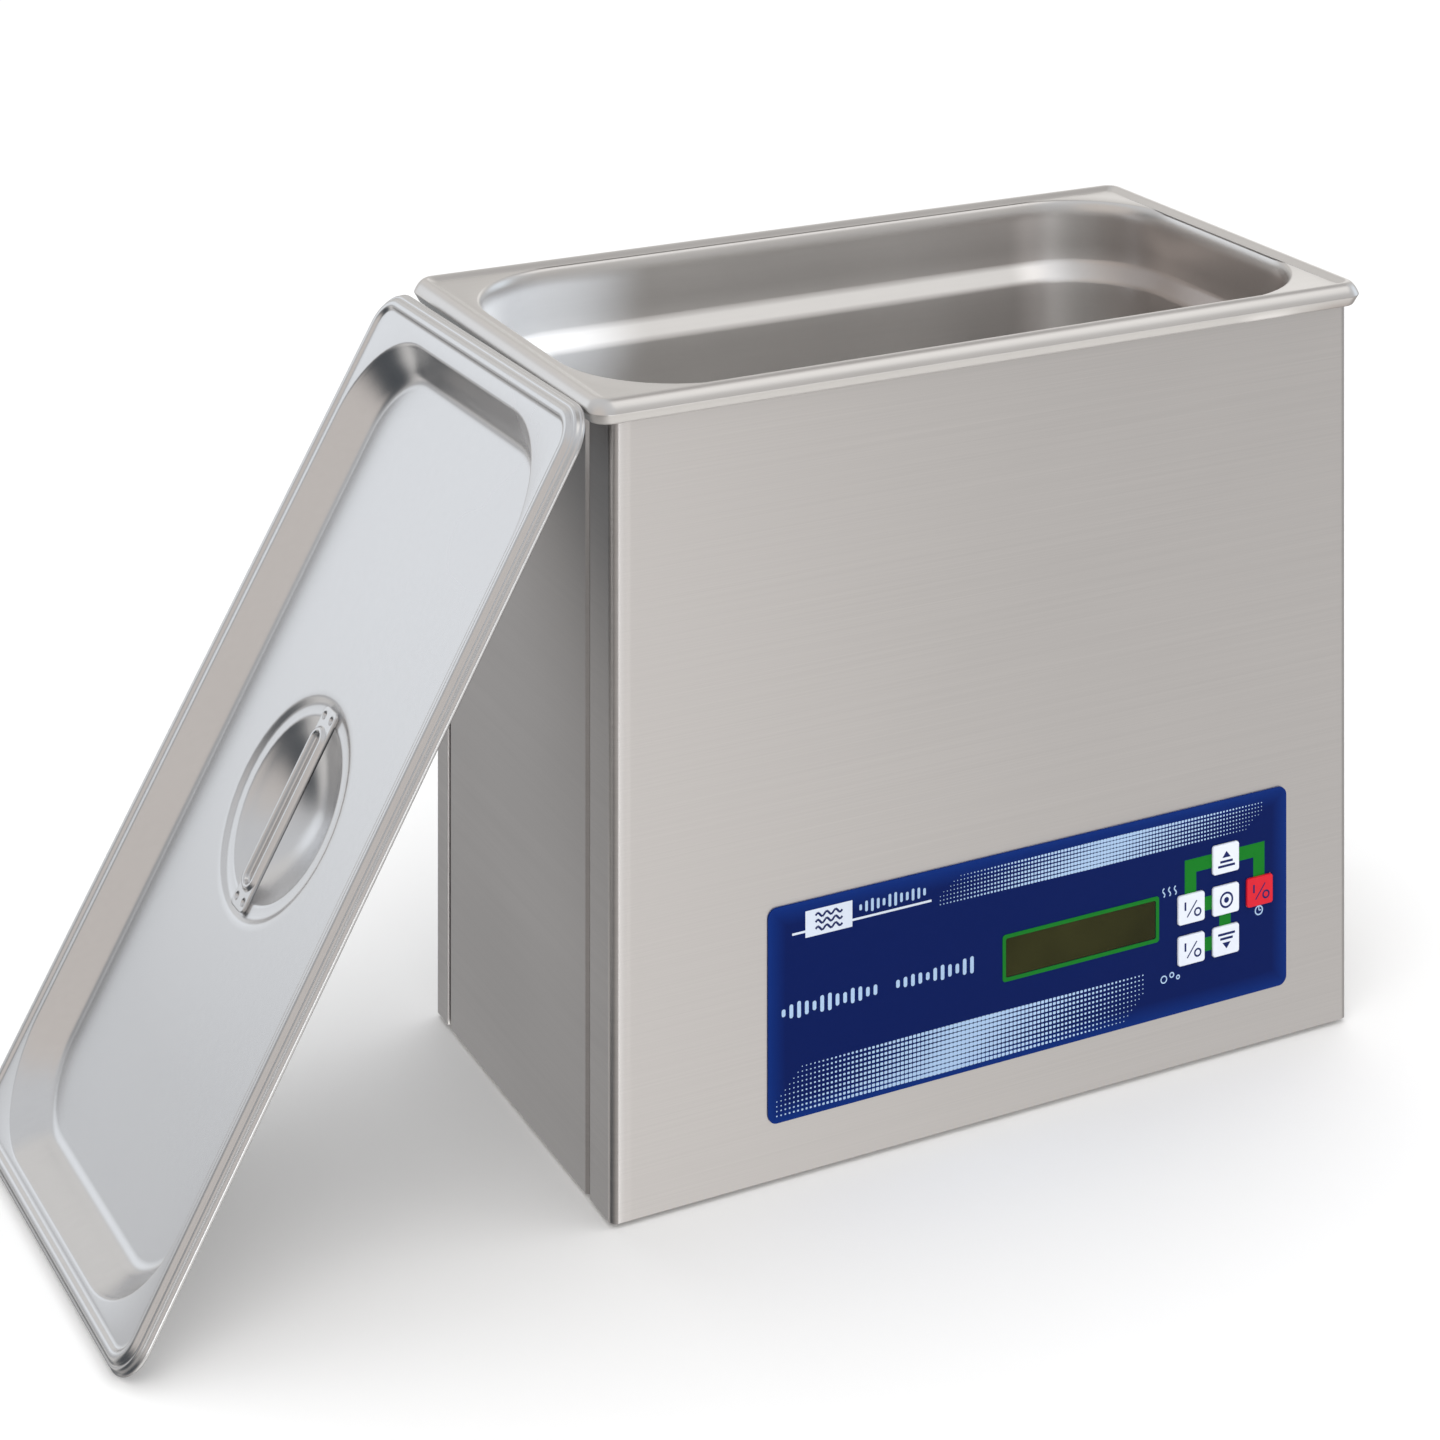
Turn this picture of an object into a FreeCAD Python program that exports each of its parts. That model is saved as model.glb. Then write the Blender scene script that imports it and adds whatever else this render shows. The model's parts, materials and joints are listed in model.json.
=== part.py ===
import FreeCAD, Part
import math
import os

# Bench-top ultrasonic cleaner: a folded steel casing with a deep-drawn tank hung in it by its
# flange, four transducers under the tank, and a loose lid that leans on the casing's left side.
# Millimetres, +Z up, X to the right, Y to the back. The origin is the centre of the casing's
# footprint, on the table that the feet stand on.

V = FreeCAD.Vector

# Driving dimensions
CASE_W = 314.0
CASE_D = 164.0
CASE_R = 3.0
FOOT_H = 2.0
CASE_TOP = 284.0
SHEET = 1.0
FRONT_WRAP = 18.0
REAR_WRAP = 13.0
GROOVE = 4.0
FLANGE_W = 329.0
FLANGE_X = -2.0
FLANGE_D = 176.0
FLANGE_R = 9.0
FLANGE_TOP = 285.4
LIP_H = 6.4
LIP_TAPER = 2.4
BEAD_W = 6.8
CREST = 2.2
TANK_SHEET = 0.8
TANK_DEPTH = 150.0
OPENING_W = 312.0
OPENING_D = 160.0
OPENING_R = 47.0
ROLL_R = 2.4
LID_W = 329.0
LID_D = 175.0
LID_R = 15.0
LID_RIM_H = 5.5
LID_SHIFT = 1.5
LID_TILT = 59.95
LID_YAW = 1.9
LID_SET_BACK = -3.7
LID_CLEAR = 0.3
PANEL_W = 224.0
PANEL_H = 76.0
PANEL_X = 15.5
PANEL_Z = 59.9
PANEL_T = 0.6
KEY_W = 12.0
KEY_H = 11.0
KEY_TRAVEL = 0.5
TRANSDUCER_X = (-99.0, -33.0, 33.0, 99.0)
DRAIN = (112.0, 44.0)
VALVE_Z = 53.0
FAN = (-105.0, 58.0)
INLET = (10.0, 48.0)
ROCKER = (62.0, 48.0)
GAP = 0.1

# Sizes that follow
CASE_BASE = FOOT_H
FRONT_Y = -CASE_D / 2
BACK_Y = CASE_D / 2
SIDE_X = CASE_W / 2
SEAM_FRONT = FRONT_Y + FRONT_WRAP
SEAM_REAR = BACK_Y - REAR_WRAP
FLANGE_AT = (FLANGE_X, 0.0)
WALL_W = OPENING_W - 2 * ROLL_R
WALL_D = OPENING_D - 2 * ROLL_R
WALL_R = OPENING_R - ROLL_R
FLOOR_TOP = FLANGE_TOP - TANK_DEPTH
FLOOR_UNDER = FLOOR_TOP - TANK_SHEET
PLATE_UNDER = FLANGE_TOP - TANK_SHEET
PLATE_Z = CASE_BASE + SHEET
PLATE_T = 1.2
PLATE_TOP = PLATE_Z + PLATE_T
SCREW_R = 1.5
HOLE_CLEAR = 0.1

KEYS = {
    "key_up": (98.9, 76.1),
    "key_set": (98.9, 60.5),
    "key_down": (98.9, 45.1),
    "key_heat": (83.1, 60.5),
    "key_degas": (83.1, 45.1),
    "key_time": (114.6, 60.5),
}
DISPLAY_W = 68.7
DISPLAY_H = 17.2
DISPLAY_X = 34.4
DISPLAY_Z = 59.4
DISPLAY_FRAME = 1.4


# Helpers
def box(x0, x1, y0, y1, z0, z1):
    return Part.makeBox(x1 - x0, y1 - y0, z1 - z0, V(x0, y0, z0))


def rod(r, length, start, axis=(0, 0, 1)):
    return Part.makeCylinder(r, length, V(*start), V(*axis))


def tube(outer, inner, length, start, axis=(0, 0, 1)):
    return rod(outer, length, start, axis).cut(rod(inner, length, start, axis))


def cone(r0, r1, length, start, axis=(0, 0, 1)):
    return Part.makeCone(r0, r1, length, V(*start), V(*axis))


def fuse(shapes):
    shapes = list(shapes)
    if len(shapes) == 1:
        return shapes[0]
    return shapes[0].multiFuse(shapes[1:]).removeSplitter()


def group(shapes):
    solids = [s for shape in shapes for s in shape.Solids]
    return Part.makeCompound(solids)


def rounded_wire(w, d, r, z, centre=(0.0, 0.0)):
    """Rounded rectangle in the XY plane at height z."""
    cx, cy = centre
    corners = ((1, 1, 0), (-1, 1, 90), (-1, -1, 180), (1, -1, 270))
    arcs = []
    for sx, sy, start in corners:
        middle = V(cx + sx * (w / 2 - r), cy + sy * (d / 2 - r), z)
        circle = Part.Circle(middle, V(0, 0, 1), r)
        arcs.append(Part.Arc(circle, math.radians(start), math.radians(start + 90)).toShape())
    edges = []
    for i, arc in enumerate(arcs):
        edges.append(arc)
        end = arc.Vertexes[-1].Point
        start = arcs[(i + 1) % len(arcs)].Vertexes[0].Point
        edges.append(Part.makeLine(end, start))
    return Part.Wire(edges)


def rounded(w, d, r, z0, z1, centre=(0.0, 0.0)):
    """Upright prism on a rounded rectangle."""
    face = Part.Face(rounded_wire(w, d, r, z0, centre))
    return face.extrude(V(0, 0, z1 - z0))


def taper(low, high):
    """Solid between two rounded rectangles, each (width, depth, radius, z) and perhaps a centre."""
    return Part.makeLoft([rounded_wire(*low), rounded_wire(*high)], True, True)


def edges_at(shape, z, tolerance=1e-4):
    """Edges that lie wholly at height z."""
    found = []
    for edge in shape.Edges:
        box_ = edge.BoundBox
        if abs(box_.ZMin - z) < tolerance and abs(box_.ZMax - z) < tolerance:
            found.append(edge)
    return found


def within(edges, w, d):
    """Edges whose box stays inside a w by d rectangle round the Z axis."""
    kept = []
    for edge in edges:
        box_ = edge.BoundBox
        if max(abs(box_.XMin), abs(box_.XMax)) > w / 2:
            continue
        if max(abs(box_.YMin), abs(box_.YMax)) > d / 2:
            continue
        kept.append(edge)
    return kept


def prism(points, z0, z1):
    """Upright prism on a polygon of (x, y) points."""
    corners = [V(x, y, z0) for x, y in points]
    face = Part.Face(Part.makePolygon(corners + [corners[0]]))
    return face.extrude(V(0, 0, z1 - z0))


def cable(points, r):
    """Round cable through a list of points, with ball corners."""
    parts = []
    for a, b in zip(points, points[1:]):
        start, end = V(*a), V(*b)
        parts.append(Part.makeCylinder(r, (end - start).Length, start, end - start))
    for p in points[1:-1]:
        parts.append(Part.makeSphere(r, V(*p)))
    return fuse(parts)


def front_plate(w, h, r, y0, y1, x, z):
    """Rounded plate that faces forward, between depths y0 and y1, centred at (x, z)."""
    plate = rounded(w, h, r, 0, y1 - y0)
    plate.rotate(V(0, 0, 0), V(1, 0, 0), -90)
    plate.translate(V(x, y0, z))
    return plate


def pan_screw(x, y, z, up=1, head_r=2.8, head_h=1.4, length=8.0):
    """Pan-head screw whose head seats at height z and whose shank points up or down."""
    head = rod(head_r, head_h, (x, y, z), (0, 0, -up))
    rim = [e for e in head.Edges if abs(e.BoundBox.ZMin - (z - up * head_h)) < 1e-6
           and abs(e.BoundBox.ZMax - (z - up * head_h)) < 1e-6]
    head = head.makeFillet(head_h * 0.45, rim)
    slot = box(x - head_r, x + head_r, y - 0.35, y + 0.35, z - up * head_h - 0.5, z - up * head_h + 0.5)
    head = head.cut(slot)
    return fuse([head, rod(SCREW_R, length, (x, y, z - up * 0.2), (0, 0, up))])


# Casing
SCREW_PLACES = [(x, sy * 76.0) for x in (-110.0, 0.0, 110.0) for sy in (-1, 1)]
SCREW_PLACES += [(sx * 150.0, y) for sx in (-1, 1) for y in (-30.0, 36.0)]
FOOT_PLACES = [(sx * 128.0, sy * 56.0) for sx in (-1, 1) for sy in (-1, 1)]


def casing_ring():
    outer = rounded(CASE_W, CASE_D, CASE_R, CASE_BASE, CASE_TOP)
    inner = rounded(CASE_W - 2 * SHEET, CASE_D - 2 * SHEET, CASE_R - SHEET, CASE_BASE, CASE_TOP)
    return outer.cut(inner)


def drilled(shape, places, r, z0=0.0, z1=20.0):
    for x, y in places:
        shape = shape.cut(rod(r, z1 - z0, (x, y, z0)))
    return shape


def front_shell():
    reach = 11.0
    shell = casing_ring().common(box(-SIDE_X, SIDE_X, FRONT_Y, SEAM_FRONT, CASE_BASE, CASE_TOP))
    hem = box(-SIDE_X + 1.5, SIDE_X - 1.5, FRONT_Y + 0.5, FRONT_Y + reach, CASE_BASE, PLATE_Z)
    shell = fuse([shell, hem])
    shell = drilled(shell, SCREW_PLACES, SCREW_R + HOLE_CLEAR)
    window = front_plate(DISPLAY_W - 4, DISPLAY_H - 4, 1.0, FRONT_Y - 1, FRONT_Y + 2, DISPLAY_X, DISPLAY_Z)
    shell = shell.cut(window)
    for x, z in KEYS.values():
        shell = shell.cut(rod(2.05, 4, (x, FRONT_Y - 1, z), (0, 1, 0)))
    return shell


def rear_shell():
    reach = 11.0
    shell = casing_ring().common(box(-SIDE_X, SIDE_X, SEAM_REAR, BACK_Y, CASE_BASE, CASE_TOP))
    hem = box(-SIDE_X + 1.5, SIDE_X - 1.5, BACK_Y - reach, BACK_Y - 0.5, CASE_BASE, PLATE_Z)
    shell = fuse([shell, hem])
    shell = drilled(shell, SCREW_PLACES, SCREW_R + HOLE_CLEAR)
    shell = shell.cut(rod(FAN_DUCT_R, 6, (FAN[0], BACK_Y - 3, FAN[1]), (0, 1, 0)))
    for x, z in fan_screw_places():
        shell = shell.cut(rod(SCREW_R + HOLE_CLEAR, 6, (x, BACK_Y - 3, z), (0, 1, 0)))
    shell = shell.cut(front_plate(INLET_W, INLET_H, 2.0, BACK_Y - 3, BACK_Y + 3, *INLET))
    return shell.cut(front_plate(ROCKER_W, ROCKER_H, 1.0, BACK_Y - 3, BACK_Y + 3, *ROCKER))


def side_panel(side):
    """Flat panel with a joggled edge that slides behind the front and rear wraps."""
    tuck = SHEET + GAP
    x0 = SIDE_X
    front, rear = SEAM_FRONT + GROOVE, SEAM_REAR - 3.0
    outline = [
        (x0 - tuck, front - 16), (x0 - tuck, front - tuck), (x0, front), (x0, rear),
        (x0 - tuck, rear + tuck), (x0 - tuck, BACK_Y - 3), (x0 - tuck - SHEET, BACK_Y - 3),
        (x0 - tuck - SHEET, rear + 0.6), (x0 - SHEET, rear - 0.5), (x0 - SHEET, front + 0.5),
        (x0 - tuck - SHEET, front - 0.6), (x0 - tuck - SHEET, front - 16),
    ]
    panel = prism([(side * x, y) for x, y in outline], CASE_BASE, CASE_TOP)
    inner, outer = x0 - 11, x0 - 0.5
    hem = box(min(side * inner, side * outer), max(side * inner, side * outer),
              front, rear, CASE_BASE, PLATE_Z)
    panel = drilled(fuse([panel, hem]), SCREW_PLACES, SCREW_R + HOLE_CLEAR)
    # The joggled edges stop above the hems of the front and rear shells
    for y0, y1 in ((FRONT_Y, FRONT_Y + 12), (BACK_Y - 12, BACK_Y)):
        panel = panel.cut(box(-SIDE_X, SIDE_X, y0, y1, 0, PLATE_TOP + 1))
    if side > 0:
        panel = panel.cut(rod(VALVE_THREAD_R + GAP, 10, (x0 - 5, DRAIN[1], VALVE_Z), (1, 0, 0)))
    return panel


def base_plate():
    plate = box(-SIDE_X + 2.5, SIDE_X - 2.5, FRONT_Y + 1.5, BACK_Y - 1.5, PLATE_Z, PLATE_TOP)
    plate = drilled(plate, SCREW_PLACES, SCREW_R + HOLE_CLEAR)
    plate = drilled(plate, FOOT_PLACES, 2.0 + HOLE_CLEAR)
    plate = drilled(plate, BOARD_HOLES, SCREW_R + HOLE_CLEAR)
    slot_w, slot_l, pitch = 4.0, 50.0, 12.0
    for i in range(6):
        x = -110.0 + i * pitch
        plate = plate.cut(box(x, x + slot_w, -slot_l / 2, slot_l / 2, 0, 20))
    return plate


def feet():
    """Four screwed feet near the corners and a bonded pad under the middle of the base."""
    made = [cone(11.0, 12.0, PLATE_Z, (0, 0, 0))]
    for x, y in FOOT_PLACES:
        pad = cone(8.0, 9.0, PLATE_Z, (x, y, 0))
        pad = pad.cut(rod(4.4, 1.4, (x, y, 0)))
        made.append(pad.cut(rod(2.0 + HOLE_CLEAR, PLATE_Z, (x, y, 0))))
    return group(made)


def foot_screws():
    made = []
    for x, y in FOOT_PLACES:
        head = cone(3.6, 4.0, 1.0, (x, y, 0.4))
        head = head.cut(box(x - 3, x + 3, y - 0.4, y + 0.4, 0.4, 0.9))
        shank = rod(2.0, 8.0, (x, y, 1.2))
        nut = tube(3.8, 2.0, 2.4, (x, y, PLATE_TOP))
        made.append(fuse([head, shank]))
        made.append(nut)
    return group(made)


# Tank
def tank_plug(w, d, r, top, floor, floor_r):
    """Solid of the tank's shape below its flange: upper wall, sloped shoulder, lower wall."""
    shoulder_high, shoulder_low, step = 260.5, 253.0, 5.0
    upper = rounded(w, d, r, shoulder_high, top)
    slope = taper((w - 2 * step, d - 2 * step, r - step, shoulder_low), (w, d, r, shoulder_high))
    lower = rounded(w - 2 * step, d - 2 * step, r - step, floor, shoulder_low)
    lower = lower.makeFillet(floor_r, edges_at(lower, floor))
    return fuse([upper, slope, lower])


def tank():
    floor_r = 12.0
    t = TANK_SHEET
    plate = rounded(FLANGE_W - 2, FLANGE_D - 2, FLANGE_R - 1, PLATE_UNDER, FLANGE_TOP, FLANGE_AT)
    outer = tank_plug(WALL_W + 2 * t, WALL_D + 2 * t, WALL_R + t, PLATE_UNDER, FLOOR_UNDER, floor_r + t)
    outer = fuse([outer, plate])
    root = within(edges_at(outer, PLATE_UNDER), WALL_W + 2 * t + 1, WALL_D + 2 * t + 1)
    outer = outer.makeFillet(ROLL_R + t, root)
    above = rounded(FLANGE_W, FLANGE_D, FLANGE_R, FLANGE_TOP, FLANGE_TOP + 4, FLANGE_AT)
    inner = tank_plug(WALL_W, WALL_D, WALL_R, FLANGE_TOP, FLOOR_TOP, floor_r)
    inner = fuse([inner, above])
    mouth = within(edges_at(inner, FLANGE_TOP), WALL_W + 1, WALL_D + 1)
    inner = inner.makeFillet(ROLL_R, mouth)
    pan = outer.cut(inner)
    return fuse([pan, tank_rim()]).cut(rod(8.0, 6, (DRAIN[0], DRAIN[1], FLOOR_UNDER - 3)))


def tank_rim():
    """Bead round the flange: a crest above the field, and a lip that tapers in below it."""
    crown = FLANGE_TOP + CREST
    lip_z = FLANGE_TOP - LIP_H
    edge_z = FLANGE_TOP - LIP_TAPER
    t = TANK_SHEET
    upper = rounded(FLANGE_W, FLANGE_D, FLANGE_R, edge_z, crown, FLANGE_AT)
    upper = upper.makeFillet(CREST + 0.8, edges_at(upper, crown))
    lip = taper(
        (FLANGE_W - 2 * LIP_TAPER, FLANGE_D - 2 * LIP_TAPER, FLANGE_R - LIP_TAPER, lip_z, FLANGE_AT),
        (FLANGE_W, FLANGE_D, FLANGE_R, edge_z, FLANGE_AT),
    )
    inset = LIP_TAPER + t
    hollow = rounded(FLANGE_W - 2 * inset, FLANGE_D - 2 * inset, FLANGE_R - inset,
                     lip_z, PLATE_UNDER, FLANGE_AT)
    field = rounded(FLANGE_W - 2 * BEAD_W, FLANGE_D - 2 * BEAD_W, 2.0, PLATE_UNDER, crown, FLANGE_AT)
    return fuse([upper, lip]).cut(hollow).cut(field)


def flange_seal(tank_shape):
    """Rubber angle between the casing's top edge and the underside of the flange."""
    inset = LIP_TAPER + TANK_SHEET
    outside = rounded(FLANGE_W - 2 * inset, FLANGE_D - 2 * inset, FLANGE_R - inset,
                      CASE_TOP - 3, PLATE_UNDER, FLANGE_AT)
    beside = rounded(CASE_W + 0.2, CASE_D + 0.2, CASE_R + 0.1, CASE_TOP - 3, CASE_TOP)
    over = rounded(CASE_W - 3.2, CASE_D - 3.2, CASE_R - 1.6, CASE_TOP - 3, PLATE_UNDER)
    return outside.cut(beside).cut(over).cut(tank_shape)


# Transducers: front mass, two piezo rings, electrodes and back mass, clamped by one bolt
MASS_R = 22.0
PIEZO_R = 19.0
PIEZO_HOLE = 7.5
BOLT_R = 4.0
FRONT_MASS_H = 24.0
PIEZO_H = 5.0
FOIL_T = 0.4
BACK_MASS_H = 20.0
GLUE = 0.3
FRONT_MASS_Z = FLOOR_UNDER - GLUE - FRONT_MASS_H
STACK = (
    ("foil", FOIL_T), ("piezo", PIEZO_H), ("foil", FOIL_T), ("piezo", PIEZO_H), ("foil", FOIL_T),
)


def stack_levels():
    """Yields (kind, low z, thickness) for the layers under a front mass, going down."""
    z = FRONT_MASS_Z
    for kind, t in STACK:
        z -= t
        yield kind, z, t


BACK_MASS_TOP = FRONT_MASS_Z - sum(t for _, t in STACK)
BACK_MASS_Z = BACK_MASS_TOP - BACK_MASS_H


def front_masses():
    made = []
    for x in TRANSDUCER_X:
        mass = cone(PIEZO_R, MASS_R, FRONT_MASS_H, (x, 0, FRONT_MASS_Z))
        made.append(mass.cut(rod(BOLT_R, 16, (x, 0, FRONT_MASS_Z))))
    return group(made)


def piezo_rings():
    levels = [(z, t) for kind, z, t in stack_levels() if kind == "piezo"]
    return group(tube(PIEZO_R, PIEZO_HOLE, t, (x, 0, z)) for x in TRANSDUCER_X for z, t in levels)


def electrodes():
    levels = [(z, t) for kind, z, t in stack_levels() if kind == "foil"]
    made = []
    for x in TRANSDUCER_X:
        for i, (z, t) in enumerate(levels):
            ring = rod(PIEZO_R, t, (x, 0, z))
            side = -1 if i == 1 else 1
            tab = box(x - 3 + 5 * side, x + 3 + 5 * side, -PIEZO_R - 6, 0, z, z + t)
            made.append(fuse([ring, tab]).cut(rod(PIEZO_HOLE, t, (x, 0, z))))
    return group(made)


def back_masses():
    made = []
    for x in TRANSDUCER_X:
        mass = rod(PIEZO_R, BACK_MASS_H, (x, 0, BACK_MASS_Z))
        mass = mass.makeChamfer(1.5, edges_at(mass, BACK_MASS_Z))
        made.append(mass.cut(rod(BOLT_R + GAP, BACK_MASS_H, (x, 0, BACK_MASS_Z))))
    return group(made)


def transducer_bolts():
    made = []
    head_h, head_r = 8.0, 6.5
    for x in TRANSDUCER_X:
        head = rod(head_r, head_h, (x, 0, BACK_MASS_Z - head_h))
        head = head.makeChamfer(0.6, edges_at(head, BACK_MASS_Z - head_h))
        head = head.cut(rod(3.0, 4.0, (x, 0, BACK_MASS_Z - head_h)))
        shank = rod(BOLT_R - 0.05, FRONT_MASS_Z + 14 - BACK_MASS_Z + 1, (x, 0, BACK_MASS_Z - 1))
        made.append(fuse([head, shank]))
    return group(made)


def transducer_wiring():
    z = FRONT_MASS_Z - 8.0
    y = -PIEZO_R - 8.0
    r = 1.1
    parts = [cable([(TRANSDUCER_X[0] - 5, y, z), (TRANSDUCER_X[-1] - 5, y, z)], r)]
    for x in TRANSDUCER_X:
        parts.append(cable([(x - 5, y, z), (x - 5, y, FRONT_MASS_Z - 1.4)], r))
    parts.append(cable([(44.0, y, z), (44.0, y, BOARD_TOP + 0.1)], r))
    return fuse(parts)


def heater_pads():
    wall_y = (WALL_D - 10) / 2 + TANK_SHEET
    thick, w, z0, z1 = 1.6, 200.0, 158.0, 226.0
    made = []
    for side in (-1, 1):
        y0, y1 = sorted((side * wall_y, side * (wall_y + thick)))
        pad = front_plate(w, z1 - z0, 6.0, y0, y1, 0, (z0 + z1) / 2)
        made.append(pad)
    return group(made)


def thermal_cutoff():
    x, y = -66.0, 44.0
    body = rod(8.0, 5.0, (x, y, FLOOR_UNDER - 5.0))
    cap = rod(6.0, 3.0, (x, y, FLOOR_UNDER - 8.0))
    tabs = [box(x + s * 4 - 0.4, x + s * 4 + 0.4, y - 3, y + 3, FLOOR_UNDER - 15, FLOOR_UNDER - 7)
            for s in (-1, 1)]
    return fuse([body, cap] + tabs)


def temperature_probe():
    x, y = 66.0, -44.0
    block = box(x - 9, x + 9, y - 5, y + 5, FLOOR_UNDER - 7, FLOOR_UNDER)
    lead = cable([(x, y, FLOOR_UNDER - 6), (x, y, FLOOR_UNDER - 24), (x, y - 18, FLOOR_UNDER - 40)], 1.4)
    return fuse([block, lead])


# Generator board on the base plate
BOARD = (-30.0, 130.0, -44.0, 52.0)
BOARD_Z = 14.0
BOARD_T = 1.6
BOARD_TOP = BOARD_Z + BOARD_T
BOARD_HOLES = [(x, y) for x in (BOARD[0] + 5, BOARD[1] - 5) for y in (BOARD[2] + 5, BOARD[3] - 5)]


def generator_board():
    board = box(BOARD[0], BOARD[1], BOARD[2], BOARD[3], BOARD_Z, BOARD_TOP)
    return drilled(board, BOARD_HOLES, SCREW_R + HOLE_CLEAR, z1=BOARD_TOP + 1)


def board_standoffs():
    return group(tube(3.2, SCREW_R + HOLE_CLEAR, BOARD_Z - PLATE_TOP, (x, y, PLATE_TOP))
                 for x, y in BOARD_HOLES)


def board_screws():
    return group(pan_screw(x, y, BOARD_TOP, up=-1, length=10.0) for x, y in BOARD_HOLES)


def heat_sink():
    x0, x1, y0, depth, height = -18.0, 92.0, 22.0, 24.0, 34.0
    web = box(x0, x1, y0, y0 + 4, BOARD_TOP, BOARD_TOP + height)
    fins = []
    count = 12
    pitch = (x1 - x0 - 2.0) / (count - 1)
    for i in range(count):
        x = x0 + i * pitch
        fins.append(box(x, x + 2.0, y0 + 3, y0 + depth, BOARD_TOP, BOARD_TOP + height))
    return fuse([web] + fins)


def power_transistors():
    made = []
    for i in range(4):
        x = 0.0 + i * 24.0
        case = box(x - 8, x + 8, 17, 22, BOARD_TOP + 8, BOARD_TOP + 29)
        legs = [box(x + s - 0.6, x + s + 0.6, 18.6, 19.4, BOARD_TOP, BOARD_TOP + 9) for s in (-5, 0, 5)]
        made.append(fuse([case] + legs))
    return group(made)


def output_transformer():
    x, y, w, d, h = -2.0, -18.0, 44.0, 16.0, 40.0
    leg = 8.0
    core = box(x - w / 2, x + w / 2, y - d / 2, y + d / 2, BOARD_TOP, BOARD_TOP + h)
    for s in (-1, 1):
        x0 = x + s * (w / 4)
        core = core.cut(box(x0 - 7, x0 + 7, y - d, y + d, BOARD_TOP + leg, BOARD_TOP + h - leg))
    coil = rounded(28.0, 30.0, 6.0, BOARD_TOP + leg + 1, BOARD_TOP + h - leg - 1, (x, y))
    coil = coil.cut(box(x - 4.2, x + 4.2, y - d / 2 - 0.2, y + d / 2 + 0.2, BOARD_TOP, BOARD_TOP + h))
    return group([core, coil.cut(core)])


def filter_capacitors():
    made = []
    for x, y in ((106.0, -26.0), (106.0, 4.0)):
        can = rod(12.5, 36.0, (x, y, BOARD_TOP))
        can = can.makeFillet(1.5, edges_at(can, BOARD_TOP + 36.0))
        groove = Part.makeTorus(12.9, 1.0, V(x, y, BOARD_TOP + 6), V(0, 0, 1))
        made.append(can.cut(groove))
    return group(made)


def toroid_choke():
    ring = Part.makeTorus(13.0, 6.5, V(70.0, -24.0, BOARD_TOP + 6.6), V(0, 0, 1))
    return fuse([ring, tube(6.9, 2.0, 2.0, (70.0, -24.0, BOARD_TOP + 5.6))])


def relay():
    block = box(42, 62, -3, 13, BOARD_TOP, BOARD_TOP + 15)
    return block.makeFillet(1.0, [e for e in block.Edges if abs(e.BoundBox.ZLength - 15) < 1e-6])


# Control board behind the front panel
CONTROL = (-8.0, 124.0, 26.0, 92.0)
CONTROL_Y = -70.0
CONTROL_HOLES = [(x, z) for x in (CONTROL[0] + 4, CONTROL[1] - 4) for z in (CONTROL[2] + 4, CONTROL[3] - 4)]


def control_board():
    board = box(CONTROL[0], CONTROL[1], CONTROL_Y, CONTROL_Y + BOARD_T, CONTROL[2], CONTROL[3])
    for x, z in CONTROL_HOLES:
        board = board.cut(rod(SCREW_R, 6, (x, CONTROL_Y - 2, z), (0, 1, 0)))
    return board


def control_standoffs():
    """Hex posts on the inside of the front shell, each with a stud and a nut on the board."""
    inside = FRONT_Y + SHEET
    made = []
    for x, z in CONTROL_HOLES:
        post = rod(2.8, CONTROL_Y - inside, (x, inside, z), (0, 1, 0))
        stud = rod(SCREW_R - 0.05, 5.5, (x, CONTROL_Y - 1, z), (0, 1, 0))
        nut = rod(2.7, 2.0, (x, CONTROL_Y + BOARD_T, z), (0, 1, 0))
        made.append(fuse([post, stud, nut]))
    return group(made)


def lcd_module():
    w, h = 76.0, 26.0
    x0, x1 = DISPLAY_X - w / 2, DISPLAY_X + w / 2
    z0, z1 = DISPLAY_Z - h / 2, DISPLAY_Z + h / 2
    body = box(x0, x1, FRONT_Y + SHEET + 1.5, CONTROL_Y, z0, z1)
    glass = box(x0 + 5, x1 - 5, FRONT_Y + SHEET + 0.3, FRONT_Y + SHEET + 1.5, z0 + 5, z1 - 5)
    return fuse([body, glass])


def tact_switches():
    made = []
    for x, z in KEYS.values():
        case = box(x - 3, x + 3, CONTROL_Y - 3.5, CONTROL_Y, z - 3, z + 3)
        plunger = rod(1.7, 4.0, (x, STEM_END + KEY_TRAVEL + GAP, z), (0, 1, 0))
        made.append(fuse([case, plunger]))
    return group(made)


def ribbon_cable():
    """Flat cable from the back of the control board down to the generator board."""
    x0, x1, t = 20.0, 45.0, 1.0
    y0 = CONTROL_Y + BOARD_T
    y1 = BOARD[2] + 8.0
    high, low = 34.0, 24.0
    run = fuse([
        box(x0, x1, y0, y0 + t + 2, high, high + 6),
        box(x0, x1, y0 + 2, y0 + 2 + t, low, high + 4),
        box(x0, x1, y0 + 2, y1, low, low + t),
        box(x0, x1, y1 - t, y1, BOARD_TOP, low + t),
        box(x0, x1, y1 - 4, y1, BOARD_TOP, BOARD_TOP + 5),
    ])
    return run


# Front panel
KEY_FACE_Y = FRONT_Y - PANEL_T - 1.0
KEY_BACK_Y = FRONT_Y - PANEL_T
STEM_END = -77.9


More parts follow.
